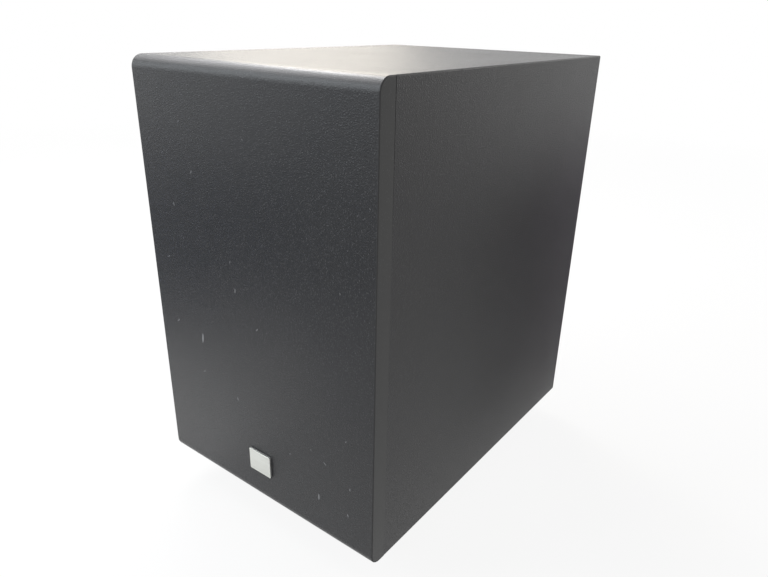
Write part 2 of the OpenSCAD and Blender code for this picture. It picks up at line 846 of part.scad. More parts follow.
// The amplifier plate with the openings for its controls and connectors
module amp_plate() {
  color(black_metal) difference() {
    on_plate() translate([0, 0, -plate_t]) rounded_plate(plate_w, plate_h, plate_corner_r, plate_t);
    at_plate_screws() through_plate(wood_screw_r + pass_gap);
    for (at = [level_at, crossover_at]) on_plate(at) through_plate(bush_r + slip);
    on_plate(led_at) through_plate(led_r + slip);
    for (x = [-1, 1]) on_plate(jacks_at + [x * jack_pitch / 2, 0]) through_plate(jack_root_r + slip);
    on_plate(phase_at) translate([0, 0, -plate_t / 2])
      cube(
        [lever_w + lever_travel + 2 * move_gap, lever_h + 2 * move_gap, plate_t + 2 * over],
        center = true
      );
    on_plate(inlet_at) translate([0, 0, -plate_t / 2])
      cube([inlet_w + 2 * slip, inlet_h + 2 * slip, plate_t + 2 * over], center = true);
    on_plate(rocker_at) translate([0, 0, -plate_t / 2])
      cube([rocker_case_w + 2 * slip, rocker_case_h + 2 * slip, plate_t + 2 * over], center = true);
    on_plate(toroid_at) through_plate(bolt_r + slip);
  }
}

// A round hole through the amplifier plate
module through_plate(r) {
  translate([0, 0, -plate_t - over]) cylinder(r = r, h = plate_t + 2 * over);
}

module amp_seal() {
  edge = 1;
  w_in = plate_w - 2 * plate_lap;
  h_in = plate_h - 2 * plate_lap;
  color(rubber) difference() {
    on_plate() translate([0, 0, -plate_t - plate_seal_t])
      rounded_plate(plate_w - 2 * edge, plate_h - 2 * edge, plate_corner_r - edge, plate_seal_t);
    on_plate() translate([-w_in / 2, -h_in / 2, -plate_t - plate_seal_t - over])
      cube([w_in, h_in, plate_seal_t + 2 * over]);
    at_plate_screws() translate([0, 0, -plate_t - plate_seal_t - over])
      cylinder(r = wood_screw_r + pass_gap, h = plate_seal_t + 2 * over);
  }
}

module amp_screws() {
  color(black_metal) at_plate_screws() screw(wood_head_r, wood_head_h, wood_screw_r, wood_screw_l);
}

module main_board() {
  color([0.1, 0.3, 0.16]) difference() {
    on_plate([0, pcb_v]) translate([-pcb_w / 2, -pcb_h / 2, pcb_back]) cube([pcb_w, pcb_h, pcb_t]);
    at_posts() translate([0, 0, pcb_back - over]) cylinder(r = machine_r + pass_gap, h = pcb_t + 2 * over);
  }
}

// Posts between the plate and the circuit board, each with a hole for its screw
module standoffs() {
  color(bright_metal) at_posts() difference() {
    translate([0, 0, pcb_face]) cylinder(r = post_r, h = pcb_gap);
    translate([0, 0, pcb_face - over]) cylinder(r = machine_r + slip, h = pcb_gap - 2 + over);
  }
}

module board_screws() {
  color(steel) at_posts() translate([0, 0, pcb_back]) rotate([180, 0, 0])
    screw(machine_head_r, machine_head_h, machine_r, pcb_gap - 4);
}

// The finned heat sink on the circuit board
module heat_sink() {
  step = (sink_w - sink_fin_t) / (sink_fin_n - 1);
  color(bright_metal) on_plate(sink_at) translate([-sink_w / 2, -sink_h / 2, pcb_back - sink_depth]) {
    translate([0, 0, sink_depth - sink_base]) cube([sink_w, sink_h, sink_base]);
    for (i = [0:sink_fin_n - 1]) translate([i * step, 0, 0]) cube([sink_fin_t, sink_h, sink_depth]);
  }
}

// Power chips that stand on the circuit board against the heat sink
module power_chips() {
  color(black_plastic) for (x = chip_u) on_plate(sink_at + [x, -sink_h / 2 - chip[1]])
    translate([-chip[0] / 2, 0, pcb_back - chip[2]]) cube(chip);
}

// Smoothing capacitors on the circuit board: two large and three small
module smoothing_caps() {
  big_r = 11;
  big_h = 32;
  small_r = 5;
  small_h = 14;
  color([0.08, 0.1, 0.2]) {
    for (x = big_cap_u) on_plate([x, pcb_low_v + cap_rise]) translate([0, 0, pcb_back - big_h])
      cylinder(r = big_r, h = big_h);
    for (x = small_cap_u) on_plate([x, pcb_low_v + cap_rise]) translate([0, 0, pcb_back - small_h])
      cylinder(r = small_r, h = small_h);
  }
}

// The toroidal transformer, lying on the back of the plate
module transformer() {
  e = toroid_edge_r;
  w = toroid_r - toroid_bore_r;
  color([0.65, 0.5, 0.1]) on_plate(toroid_at) translate([0, 0, -plate_t - toroid_h]) rotate_extrude()
    translate([toroid_bore_r, 0]) {
      translate([e, 0]) square([w - 2 * e, toroid_h]);
      translate([0, e]) square([w, toroid_h - 2 * e]);
      for (x = [e, w - e], y = [e, toroid_h - e]) translate([x, y]) circle(e);
    }
}

// The steel dish that clamps the transformer
module transformer_dish() {
  color(steel) on_plate(toroid_at) translate([0, 0, -plate_t - toroid_h - dish_t])
    ring(dish_r, bolt_r + slip, dish_t);
}

// The bolt through the plate, the transformer and its dish, with its nut
module transformer_bolt() {
  length = plate_t + toroid_h + dish_t + bolt_nut_t + bolt_end;
  color(bright_metal) on_plate(toroid_at) {
    screw(bolt_head_r, bolt_head_h, bolt_r, length);
    translate([0, 0, bolt_end - length]) difference() {
      cylinder(r = bolt_nut_r, h = bolt_nut_t, $fn = 6);
      translate([0, 0, -over]) cylinder(r = bolt_r + slip, h = bolt_nut_t + 2 * over);
    }
  }
}

// The two potentiometers: a case between the plate and the circuit board, and a bush
module pot_housings() {
  color(steel) for (at = [level_at, crossover_at]) on_plate(at) difference() {
    union() {
      translate([-pot_s / 2, -pot_s / 2, pcb_face]) cube([pot_s, pot_s, pcb_gap]);
      translate([0, 0, -plate_t - over]) cylinder(r = bush_r, h = plate_t + bush_out + over);
    }
    translate([0, 0, -shaft_in - slip]) cylinder(r = shaft_r + run_gap, h = shaft_in + bush_out + 2 * over);
  }
}

module pot_nuts() {
  color(bright_metal) for (at = [level_at, crossover_at]) on_plate(at) difference() {
    cylinder(r = nut_r, h = nut_h, $fn = 6);
    translate([0, 0, -over]) cylinder(r = bush_r + slip, h = nut_h + 2 * over);
  }
}

module control_shaft(at) {
  color(bright_metal) on_plate(at) translate([0, 0, -shaft_in])
    cylinder(r = shaft_r, h = shaft_in + knob_gap + knob_l - knob_cover);
}

// A fluted knob, hollow round the nut, with a pointer groove on its face
module control_knob(at) {
  groove_w = 1.2;
  groove_d = 0.6;
  color(black_plastic) on_plate(at) translate([0, 0, knob_gap]) difference() {
    cylinder(r = knob_r, h = knob_l);
    translate([0, 0, -over]) cylinder(r = knob_hollow_r, h = knob_hollow_l + over);
    cylinder(r = shaft_r + slip, h = knob_l - knob_cover + slip);
    for (i = [0:knob_flutes - 1]) rotate((i + 0.5) * 360 / knob_flutes)
      translate([knob_r + flute_r / 3, 0, 2]) cylinder(r = flute_r, h = knob_l);
    translate([-groove_w / 2, knob_r / 3, knob_l - groove_d]) cube([groove_w, knob_r, groove_d + over]);
  }
}

module level_shaft() {
  control_shaft(level_at);
}

module level_knob() {
  control_knob(level_at);
}

module crossover_shaft() {
  control_shaft(crossover_at);
}

module crossover_knob() {
  control_knob(crossover_at);
}

// The case of the phase switch, with the pocket that its lever slides in
module switch_housing() {
  pocket_w = lever_w + lever_travel + 2 * move_gap;
  pocket_h = lever_h + 2 * move_gap;
  pocket_d = lever_in + move_gap;
  color(steel) on_plate(phase_at) translate([0, 0, pcb_face]) difference() {
    translate([-switch_w / 2, -switch_h / 2, 0]) cube([switch_w, switch_h, pcb_gap]);
    translate([-pocket_w / 2, -pocket_h / 2, pcb_gap - pocket_d]) cube([pocket_w, pocket_h, pocket_d + over]);
  }
}

// The lever of the phase switch, at the right end of its travel as seen from behind
module phase_lever() {
  color(black_plastic) on_plate(phase_at)
    translate([lever_travel / 2 - lever_w / 2, -lever_h / 2, -plate_t - lever_in])
      cube([lever_w, lever_h, plate_t + lever_in + lever_out]);
}

module status_led() {
  color([0.2, 0.7, 0.3]) on_plate(led_at) {
    translate([0, 0, pcb_face]) cylinder(r = led_r, h = pcb_gap + plate_t + led_out);
  }
}

// The block that carries the two line jacks
module line_in_block() {
  w = jack_pitch + 16;
  color(black_plastic) on_plate(jacks_at)
    translate([-w / 2, -jack_block_h / 2, pcb_face]) cube([w, jack_block_h, pcb_gap]);
}

// The two metal shells: a root under the collar, then the barrel that a plug goes over
module line_in_shells() {
  color(bright_metal) for (x = [-1, 1]) on_plate(jacks_at + [x * jack_pitch / 2, 0]) difference() {
    union() {
      translate([0, 0, -plate_t]) cylinder(r = jack_root_r, h = plate_t + jack_collar_t);
      cylinder(r = jack_r, h = jack_l);
    }
    translate([0, 0, -plate_t - over]) cylinder(r = jack_r - jack_wall, h = plate_t + jack_l + 2 * over);
  }
}

// The coloured insert of one line jack: a core with the contact bore, and a collar on the plate
module jack_insert(side) {
  core_r = jack_r - jack_wall - slip;
  on_plate(jacks_at + [side * jack_pitch / 2, 0]) {
    difference() {
      translate([0, 0, -plate_t]) cylinder(r = core_r, h = plate_t + jack_l - jack_short);
      cylinder(r = jack_bore_r, h = jack_l);
    }
    ring(jack_collar_r, jack_root_r + slip, jack_collar_t);
  }
}

module white_insert() {
  color([0.9, 0.9, 0.88]) jack_insert(-1);
}

module red_insert() {
  color([0.7, 0.08, 0.08]) jack_insert(1);
}

// The two-pole mains inlet with its figure-of-eight socket
module mains_inlet() {
  back = inlet_rim_t - inlet_depth - inlet_floor;
  color(black_plastic) on_plate(inlet_at) difference() {
    union() {
      rounded_plate(inlet_w + 2 * inlet_rim, inlet_h + 2 * inlet_rim, 2, inlet_rim_t);
      translate([-inlet_w / 2, -inlet_h / 2, back]) cube([inlet_w, inlet_h, inlet_rim_t - back]);
    }
    translate([0, 0, inlet_rim_t - inlet_depth]) {
      for (x = [-1, 1]) translate([x * inlet_pitch / 2, 0, 0])
        cylinder(r = inlet_slot_r, h = inlet_depth + over);
      translate([-inlet_pitch / 2, -inlet_slot_r, 0])
        cube([inlet_pitch, 2 * inlet_slot_r, inlet_depth + over]);
    }
    for (x = [-1, 1]) translate([x * inlet_pitch / 2, 0, back - over])
      cylinder(r = inlet_pin_r + slip, h = inlet_floor + 2 * over);
  }
}

// The inlet's two pins and the power switch's two tabs
module mains_pins() {
  pin_short = 2;
  color(brass) {
    for (x = [-1, 1]) on_plate(inlet_at + [x * inlet_pitch / 2, 0]) translate([0, 0, inlet_tail_z])
      cylinder(r = inlet_pin_r, h = inlet_rim_t - pin_short - inlet_tail_z);
    for (y = [-1, 1]) on_plate(rocker_at + [0, y * rocker_tab_v])
      translate([-rocker_tab_x, -tab_t / 2, rocker_tail_z]) cube([2 * rocker_tab_x, tab_t, inlet_tail]);
  }
}

// The case of the power switch: a rim on the plate, and a round pocket with holes for the pivot
module rocker_frame() {
  pocket_w = rocker_w + 2 * move_gap;
  color(black_plastic) on_plate(rocker_at) difference() {
    union() {
      translate([-rocker_case_w / 2, -rocker_case_h / 2, -rocker_case_l])
        cube([rocker_case_w, rocker_case_h, rocker_case_l + rocker_rim_t / 2]);
      rounded_plate(rocker_case_w + 2 * rocker_rim, rocker_case_h + 2 * rocker_rim, 1.5, rocker_rim_t);
    }
    translate([0, 0, rocker_pivot]) rotate([0, 90, 0]) {
      cylinder(r = rocker_r + move_gap, h = pocket_w, center = true);
      cylinder(r = trunnion_r + run_gap, h = rocker_w + 2 * trunnion_l + 2 * move_gap, center = true);
    }
  }
}

// The rocker, with its upper end pressed in: a round underside, a shallow V face and two trunnions
module power_rocker() {
  rise = asin(5 / rocker_r);
  dip = 4.2;
  end = [rocker_r * cos(rise), rocker_r * sin(rise)];
  color(black_plastic) on_plate(rocker_at) translate([0, 0, rocker_pivot]) rotate([-rocker_tilt, 0, 0]) {
    rotate([90, 0, 90]) translate([0, 0, -rocker_w / 2]) linear_extrude(rocker_w) difference() {
      circle(rocker_r);
      polygon([[-2 * rocker_r, 2 * rocker_r], [-2 * rocker_r, end[1]], [-end[0], end[1]], [0, dip],
        end, [2 * rocker_r, end[1]], [2 * rocker_r, 2 * rocker_r]]);
    }
    rotate([0, 90, 0]) cylinder(r = trunnion_r, h = rocker_w + 2 * trunnion_l, center = true);
  }
}

// A lead that leaves one end and reaches the other along given ways, and swings aside between them
module lead_route(from, way_out, way_in, to, swing, up) {
  a = from + way_out;
  b = to + way_in;
  lead([from, a, for (t = [0.2, 0.5, 0.8]) a + (b - a) * t + 4 * t * (1 - t) * swing, b, to], lead_r, up);
}

// Leads of the power supply: inlet to switch, switch and inlet to transformer, transformer to board
module power_leads() {
  side_in = 5;
  near = [0, 0, -6];
  deep = [0, 0, -8];
  edge_in = 10;
  spread = 4;
  low_pass = [0, -5, -9];
  high_pass = [0, 6, -15];
  long_pass = [6, 14, -1];
  board_pass = [0, 0, -14];
  lead_in_r = toroid_r - toroid_edge_r - side_in;
  half = [inlet_pitch / 2, 0];
  tab = [0, rocker_tab_v];
  color([0.3, 0.2, 0.15]) on_plate() {
    lead_route(at_depth(inlet_at - half, inlet_tail_z), near, near, at_depth(rocker_at - tab, rocker_tail_z),
      low_pass, [0, 1, 0.3]);
    lead_route(at_depth(rocker_at + tab, rocker_tail_z), deep, deep, on_toroid(lead_in_r, 0),
      high_pass, [0, 1, 0.3]);
    lead_route(at_depth(inlet_at + half, inlet_tail_z), deep, deep, on_toroid(lead_in_r, 50),
      long_pass, [0, 1, 0.3]);
    for (side = [-1, 1]) lead_route(on_toroid(lead_in_r, 180 + side * 10), deep, deep,
      [edge_in - pcb_w / 2 - side * spread, pcb_low_v + lead_rise, pcb_back],
      board_pass - [side * spread, 0, 0], [1, 0, 0.2]);
  }
}

// Leads from the circuit board to the woofer's terminal, in the cabinet's frame
module speaker_leads() {
  bend = 8;
  board_x = 45;
  swing = [-8, -4, 0];
  tab_end = woofer_y + terminal_r + terminal_l + tab_l / 2;
  tab_z = woofer_seat_z - ledge_z + basket_t + terminal_t + tab_t / 2;
  board_y = plate_face_y + pcb_back;
  board_z = plate_mid_z + pcb_low_v + speaker_rise;
  color([0.5, 0.08, 0.08]) for (x = [-tab_x, tab_x])
    lead_route(
      [x - board_x, board_y, board_z], [0, -bend, 0], [0, bend, 0], [x, tab_end, tab_z], swing, [1, 0, 0]
    );
}

front_panel();
top_board();
bottom_board();
left_board();
right_board();
rear_board();
rear_battens();
front_dowels();
acoustic_wadding();
badge();
feet();
foot_pads();
foot_screws();
port_tube();
woofer_seal();
woofer_basket();
woofer_cone();
dust_cap();
surround();
trim_ring();
spider();
coil_former();
voice_coil();
motor_front_plate();
magnet();
yoke();
woofer_terminal();
tinsel_leads();
woofer_screws();
amp_plate();
amp_seal();
amp_screws();
main_board();
standoffs();
board_screws();
heat_sink();
power_chips();
smoothing_caps();
transformer();
transformer_dish();
transformer_bolt();
pot_housings();
pot_nuts();
level_shaft();
level_knob();
crossover_shaft();
crossover_knob();
switch_housing();
phase_lever();
status_led();
line_in_block();
line_in_shells();
white_insert();
red_insert();
mains_inlet();
mains_pins();
rocker_frame();
power_rocker();
power_leads();
speaker_leads();
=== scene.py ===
"""Looks of a powered subwoofer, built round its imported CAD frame. Metres, in the part's own frame."""

import json
import math
import random

import bmesh
import bpy
from mathutils import Matrix, Vector

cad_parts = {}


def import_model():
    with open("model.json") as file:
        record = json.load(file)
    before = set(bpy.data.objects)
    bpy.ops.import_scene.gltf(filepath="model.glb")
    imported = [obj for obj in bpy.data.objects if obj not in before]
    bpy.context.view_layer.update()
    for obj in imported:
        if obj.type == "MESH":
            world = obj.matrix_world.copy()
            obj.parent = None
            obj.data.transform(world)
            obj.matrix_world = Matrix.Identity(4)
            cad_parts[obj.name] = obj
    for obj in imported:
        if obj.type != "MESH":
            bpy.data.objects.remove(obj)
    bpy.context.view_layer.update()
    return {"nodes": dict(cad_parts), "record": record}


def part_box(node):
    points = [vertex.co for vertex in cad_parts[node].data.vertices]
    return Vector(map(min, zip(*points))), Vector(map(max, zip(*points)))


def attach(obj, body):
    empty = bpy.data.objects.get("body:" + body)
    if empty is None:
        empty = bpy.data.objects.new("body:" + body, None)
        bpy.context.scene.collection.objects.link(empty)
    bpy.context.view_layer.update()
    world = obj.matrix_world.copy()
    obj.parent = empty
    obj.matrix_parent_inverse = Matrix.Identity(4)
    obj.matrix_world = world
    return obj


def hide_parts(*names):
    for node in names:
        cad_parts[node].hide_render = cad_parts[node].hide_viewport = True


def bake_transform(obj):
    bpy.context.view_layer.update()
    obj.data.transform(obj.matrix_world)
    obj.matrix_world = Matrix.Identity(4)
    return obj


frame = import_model()
NODES = frame["nodes"]
SCENE = bpy.context.scene
SCENE.view_settings.view_transform = "Standard"
MM = 0.001

# Places that the CAD frame gives
FRONT_LO, FRONT_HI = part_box("front_panel")
FRONT_Y, WRAP_Y = FRONT_LO.y, FRONT_HI.y
LOW_Z, TOP_Z = FRONT_LO.z, FRONT_HI.z
MID_Z = (LOW_Z + TOP_Z) / 2
HALF_W, HALF_H = FRONT_HI.x, (TOP_Z - LOW_Z) / 2
BACK_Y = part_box("top_board")[1].y
BOARD_T = TOP_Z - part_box("top_board")[0].z
PLATE_LO, PLATE_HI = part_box("amp_plate")
PLATE_Y = PLATE_HI.y
PLATE_Z = (PLATE_LO.z + PLATE_HI.z) / 2
WOOFER_Y = (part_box("woofer_cone")[0].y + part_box("woofer_cone")[1].y) / 2
FLANGE_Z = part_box("woofer_seal")[0].z

# The camera, from the perspective of the cabinet's edges in the photograph
WIDTH_PX, FOCAL_PX = 768, 642.19
YAW, PITCH, ROLL = 0.64651, 0.40294, 0.02244
EYE = Vector((0.36641, -0.49318, 0.44573))
AIM = Vector((-math.sin(YAW) * math.cos(PITCH), math.cos(YAW) * math.cos(PITCH), -math.sin(PITCH)))
LEVEL = Vector((math.cos(YAW), math.sin(YAW), 0))
UPRIGHT = LEVEL.cross(AIM)
RIGHT = math.cos(ROLL) * LEVEL + math.sin(ROLL) * UPRIGHT
UP = math.cos(ROLL) * UPRIGHT - math.sin(ROLL) * LEVEL


def make_camera():
    """The photograph's camera."""
    data = bpy.data.cameras.new("camera")
    data.sensor_fit = "HORIZONTAL"
    data.sensor_width = 36
    data.lens = FOCAL_PX / WIDTH_PX * data.sensor_width
    data.clip_start = 0.01
    camera = bpy.data.objects.new("camera", data)
    SCENE.collection.objects.link(camera)
    camera.matrix_world = Matrix.Translation(EYE) @ Matrix((RIGHT, UP, -AIM)).transposed().to_4x4()
    SCENE.camera = camera


# Materials

BAND = 0.1 * math.pi
LINE_RELIEF, SPOT_RELIEF = 0.00001, 0.000008


class Graph:
    """A material's node tree, with short calls for the nodes that are used here."""

    def __init__(self, name):
        self.mat = bpy.data.materials.new(name)
        self.mat.use_nodes = True
        self.tree = self.mat.node_tree
        self.shader = self.tree.nodes["Principled BSDF"]
        self.place = self.tree.nodes.new("ShaderNodeTexCoord").outputs["Object"]

    def node(self, kind, **settings):
        """A new node with its own settings."""
        made = self.tree.nodes.new("ShaderNode" + kind)
        for key, value in settings.items():
            setattr(made, key, value)
        return made

    def put(self, value, socket):
        """Links an output to a socket, or sets the socket's own number or colour."""
        if isinstance(value, bpy.types.NodeSocket):
            self.tree.links.new(value, socket)
        else:
            socket.default_value = value

    def set(self, **values):
        """Links or sets inputs of the shader, named with _ for a space."""
        for key, value in values.items():
            self.put(value, self.shader.inputs[key.replace("_", " ")])

    def stretched(self, x, y, z, turn=(0, 0, 0)):
        """The place, turned and scaled along each axis."""
        made = self.node("Mapping")
        self.put(self.place, made.inputs["Vector"])
        made.inputs["Rotation"].default_value = turn
        made.inputs["Scale"].default_value = (x, y, z)
        return made.outputs["Vector"]

    def noise(self, scale, detail=3.0, rough=0.55, place=None, distortion=0.0):
        """Cloudy noise, finer with a larger scale."""
        made = self.node("TexNoise")
        self.put(place or self.place, made.inputs["Vector"])
        made.inputs["Scale"].default_value = scale
        made.inputs["Detail"].default_value = detail
        made.inputs["Roughness"].default_value = rough
        made.inputs["Distortion"].default_value = distortion
        return made.outputs["Fac"]

    def cells(self, scale, feature="F1", place=None):
        """Distance from the nearest of scattered points, or from the edge between them."""
        made = self.node("TexVoronoi", feature=feature)
        self.put(place or self.place, made.inputs["Vector"])
        made.inputs["Scale"].default_value = scale
        return made.outputs["Distance"]

    def wave(self, scale, axis):
        """Even bands across an axis, as long as BAND at a scale of 1."""
        made = self.node("TexWave", wave_type="BANDS", bands_direction=axis)
        self.put(self.place, made.inputs["Vector"])
        made.inputs["Scale"].default_value = scale
        return made.outputs["Fac"]

    def remap(self, value, low, high, from_low=0.3, from_high=0.7, smooth=False):
        """A value's range moved to low and high, and held there."""
        made = self.node("MapRange", interpolation_type="SMOOTHSTEP" if smooth else "LINEAR")
        self.put(value, made.inputs["Value"])
        made.inputs["From Min"].default_value = from_low
        made.inputs["From Max"].default_value = from_high
        made.inputs["To Min"].default_value = low
        made.inputs["To Max"].default_value = high
        return made.outputs["Result"]

    def math(self, kind, a, b=0.0):
        """One sum of two values."""
        made = self.node("Math", operation=kind)
        self.put(a, made.inputs[0])
        self.put(b, made.inputs[1])
        return made.outputs[0]

    def mix(self, share, a, b):
        """Colour a with share of colour b. The node's sockets for colours come after those for other data."""
        made = self.node("Mix", data_type="RGBA")
        self.put(share, made.inputs["Factor"])
        for value, socket in ((a, made.inputs[6]), (b, made.inputs[7])):
            self.put(value if isinstance(value, bpy.types.NodeSocket) else (*value, 1), socket)
        return made.outputs[2]

    def blend_of(self, a, b, share):
        """A value of share of a and the rest of b."""
        return self.math("ADD", self.math("MULTIPLY", a, share), self.math("MULTIPLY", b, 1 - share))

    def along(self, axis):
        """The place's own X, Y or Z."""
        split = self.node("SeparateXYZ")
        self.put(self.place, split.inputs[0])
        return split.outputs[axis]

    def bump(self, height, depth):
        """A relief as deep as depth where the height goes from 0 to 1."""
        made = self.node("Bump")
        made.inputs["Distance"].default_value = depth
        self.put(height, made.inputs["Height"])
        return made.outputs["Normal"]


def grained(name, dark, light, rough, grain, depth, ior=1.5):
    """A material with slow colour changes, a fine grain in its relief and an uneven gloss."""
    g = Graph(name)
    drift = g.noise(25, 4)
    fine = g.noise(grain, 3)
    g.set(Base_Color=g.mix(g.remap(drift, 0, 1), dark, light), IOR=ior)
    g.set(Roughness=g.remap(g.blend_of(drift, fine, 0.5), *rough), Normal=g.bump(fine, depth))
    return g.mat


VINYL_DARK, VINYL_LIGHT, VINYL_GRAIN = (0.027, 0.027, 0.0288), (0.031, 0.0306, 0.0315), 0.0004
# The first colour here is the paler colour of the pebble tops: partly wear, partly painted glints of light.
WEAR_AND_GLINT, DUST, VINYL_IOR = (0.125, 0.124, 0.128), (0.09, 0.09, 0.09), 1.33
FINE_SCALE, CREASE_SCALE, PEBBLE_SCALE, DUST_SCALE, DUST_R = 1350, 820, 640, 62, 0.013
STRETCH_RUN, STRETCHED_GRAIN = 6 * MM, 0.38


def vinyl(name, dark, light, grain, stretched=None):
    """Black vinyl on board: fine grain and small raised pebbles as deep as grain says, their tops paler in
    colour, partly wear and partly painted glints of light, a slow unevenness and dust. stretched is a height
    and the distance above and below it from which the vinyl is drawn over a round edge, where its grain is
    flatter."""
    g = Graph(name)
    slow = g.noise(9, 3)
    fine = g.noise(FINE_SCALE, 3, 0.6)
    crease = g.noise(CREASE_SCALE, 3, 0.6, distortion=0.4)
    pebble = g.remap(g.cells(PEBBLE_SCALE), 1, 0, 0.05, 0.4, smooth=True)
    speck = g.math("LESS_THAN", g.cells(DUST_SCALE, place=g.stretched(1, 1, 0.45, (0, 0.35, 0))), DUST_R)
    # Paler pebble tops painted into the colour: partly wear, partly painted glints where the lamps catch the
    # pebbles.
    tops = g.math("MULTIPLY", pebble, g.remap(crease, 0, 0.75, 0.48, 0.68))
    colour = g.mix(g.remap(slow, 0, 1), dark, light)
    colour = g.mix(tops, colour, WEAR_AND_GLINT)
    g.set(Base_Color=g.mix(speck, colour, DUST), IOR=VINYL_IOR)
    g.set(Roughness=g.remap(g.blend_of(slow, fine, 0.6), 0.28, 0.38))
    height = g.math("ADD", g.blend_of(fine, crease, 0.65), g.math("MULTIPLY", pebble, 0.35))
    if stretched:
        middle, reach = stretched
        away = g.math("ABSOLUTE", g.math("SUBTRACT", g.along("Z"), middle))
        kept = g.remap(away, 1, STRETCHED_GRAIN, reach, reach + STRETCH_RUN, smooth=True)
        height = g.math("MULTIPLY", g.math("SUBTRACT", height, 0.5), kept)
    g.set(Normal=g.bump(height, grain))
    return g.mat


def brushed(name, dark, light, rough, stretch, grain=900):
    """Metal with fine lines along the direction in which the pattern is stretched."""
    g = Graph(name)
    lines = g.noise(grain, 3, place=g.stretched(*stretch))
    cloud = g.noise(40, 3)
    g.set(Base_Color=g.mix(g.remap(g.blend_of(lines, cloud, 0.6), 0, 1), dark, light), Metallic=1.0)
    g.set(Roughness=g.remap(g.blend_of(lines, cloud, 0.5), *rough), Normal=g.bump(lines, LINE_RELIEF))
    return g.mat


def plated(name, dark, light, rough):
    """Plated metal: cloudy, with small dull spots."""
    g = Graph(name)
    cloud = g.noise(160, 4)
    spots = g.cells(700)
    g.set(Base_Color=g.mix(g.remap(cloud, 0, 1), dark, light), Metallic=1.0)
    g.set(Roughness=g.remap(g.blend_of(cloud, spots, 0.6), *rough, 0.2, 0.6))
    g.set(Normal=g.bump(spots, SPOT_RELIEF))
    return g.mat


def wood():
    """Raw wood: long fibres with darker pores."""
    g = Graph("raw_board")
    long_way = g.stretched(1, 1, 0.06)
    fibre = g.noise(700, 4, place=long_way, distortion=0.4)
    bands = g.noise(130, 2, place=long_way, distortion=1.5)
    colour = g.mix(g.remap(bands, 0, 1), (0.31, 0.2, 0.1), (0.47, 0.34, 0.2))
    g.set(Base_Color=g.mix(g.remap(fibre, 0.35, 0), colour, (0.16, 0.09, 0.04)))
    g.set(Roughness=g.remap(fibre, 0.6, 0.8), Normal=g.bump(fibre, 0.00008))
    return g.mat


def fibres(name, dark, light, scale, depth, sheen):
    """Loose or pressed fibres: thin threads in two directions over a soft cloud."""
    g = Graph(name)
    one = g.noise(scale, 3, place=g.stretched(1, 0.16, 0.3, (0.5, 0.2, 0.6)), distortion=1.2)
    two = g.noise(scale, 3, place=g.stretched(0.2, 1, 0.22, (0.3, 0.9, 1.9)), distortion=1.2)
    both = g.math("MAXIMUM", one, two)
    cloud = g.noise(60, 3)
    g.set(Base_Color=g.mix(g.remap(g.blend_of(both, cloud, 0.7), 0, 1, 0.4, 0.7), dark, light))
    g.set(Roughness=g.remap(cloud, 0.78, 0.95), Normal=g.bump(both, depth), Sheen_Weight=sheen)
    return g.mat


def woven():
    """Resin-stiffened cloth: threads over and under each other."""
    g = Graph("spider_cloth")
    height = g.math("MAXIMUM", g.wave(430, "X"), g.wave(430, "Y"))
    tint = g.noise(70, 3)
    colour = g.mix(g.remap(tint, 0, 1), (0.33, 0.2, 0.05), (0.5, 0.33, 0.11))
    g.set(Base_Color=g.mix(g.remap(height, 0.5, 0, 0.3, 1), colour, (0.16, 0.09, 0.02)))
    g.set(Roughness=g.remap(height, 0.75, 0.5, 0.2, 1), Normal=g.bump(height, 0.0001))
    return g.mat


def foam():
    """Closed-cell foam: small round cells of uneven size."""
    g = Graph("foam_seal")
    cell = g.cells(1500)
    cloud = g.noise(90, 3)
    g.set(Base_Color=g.mix(g.remap(g.blend_of(cell, cloud, 0.6), 0, 1, 0.1, 0.6),
                           (0.008, 0.008, 0.008), (0.024, 0.024, 0.025)))
    g.set(Roughness=g.remap(cell, 0.75, 0.95, 0, 0.6), Normal=g.bump(cell, 0.00015))
    return g.mat


def winding(name, pitch, dark, light, rough):
    """Wire laid turn by turn, its turns one above the other."""
    g = Graph(name)
    turns = g.wave(BAND / pitch, "Z")
    tint = g.noise(300, 3)
    g.set(Base_Color=g.mix(g.remap(g.blend_of(turns, tint, 0.6), 0, 1), dark, light), Metallic=1.0)
    g.set(Roughness=g.remap(tint, *rough), Normal=g.bump(turns, pitch / 10))
    return g.mat


def tape():
    """Tape wound round a ring core: each turn lies over the one before."""
    g = Graph("transformer_tape")
    lo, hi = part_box("transformer")
    shift = g.node("Mapping", vector_type="TEXTURE")
    g.put(g.place, shift.inputs["Vector"])
    shift.inputs["Location"].default_value = (lo + hi) / 2
    shift.inputs["Rotation"].default_value = (math.pi / 2, 0, 0)
    angle = g.node("TexGradient", gradient_type="RADIAL")
    g.put(shift.outputs["Vector"], angle.inputs["Vector"])
    turns = 44.0
    turn = g.math("FRACT", g.math("MULTIPLY", angle.outputs["Fac"], turns))
    tint = g.noise(120, 3)
    colour = g.mix(g.remap(tint, 0, 1), (0.36, 0.2, 0.02), (0.52, 0.33, 0.05))
    g.set(Base_Color=g.mix(g.remap(turn, 0.55, 0, 0, 0.16), colour, (0.2, 0.1, 0.01)))
    g.set(Roughness=g.remap(tint, 0.3, 0.48), Normal=g.bump(turn, 0.0003))
    return g.mat


def circuit():
    """Solder mask over copper tracks, with a glossy skin."""
    g = Graph("circuit_board")
    track = g.math("LESS_THAN", g.cells(190, "DISTANCE_TO_EDGE"), 0.09)
    tint = g.noise(30, 2)
    mask = g.mix(g.remap(tint, 0, 1), (0.006, 0.055, 0.018), (0.012, 0.08, 0.026))
    g.set(Base_Color=g.mix(track, mask, (0.03, 0.15, 0.05)), Roughness=g.remap(tint, 0.25, 0.4))
    g.set(Normal=g.bump(track, 0.00003), Coat_Weight=0.5, Coat_Roughness=0.12)
    return g.mat


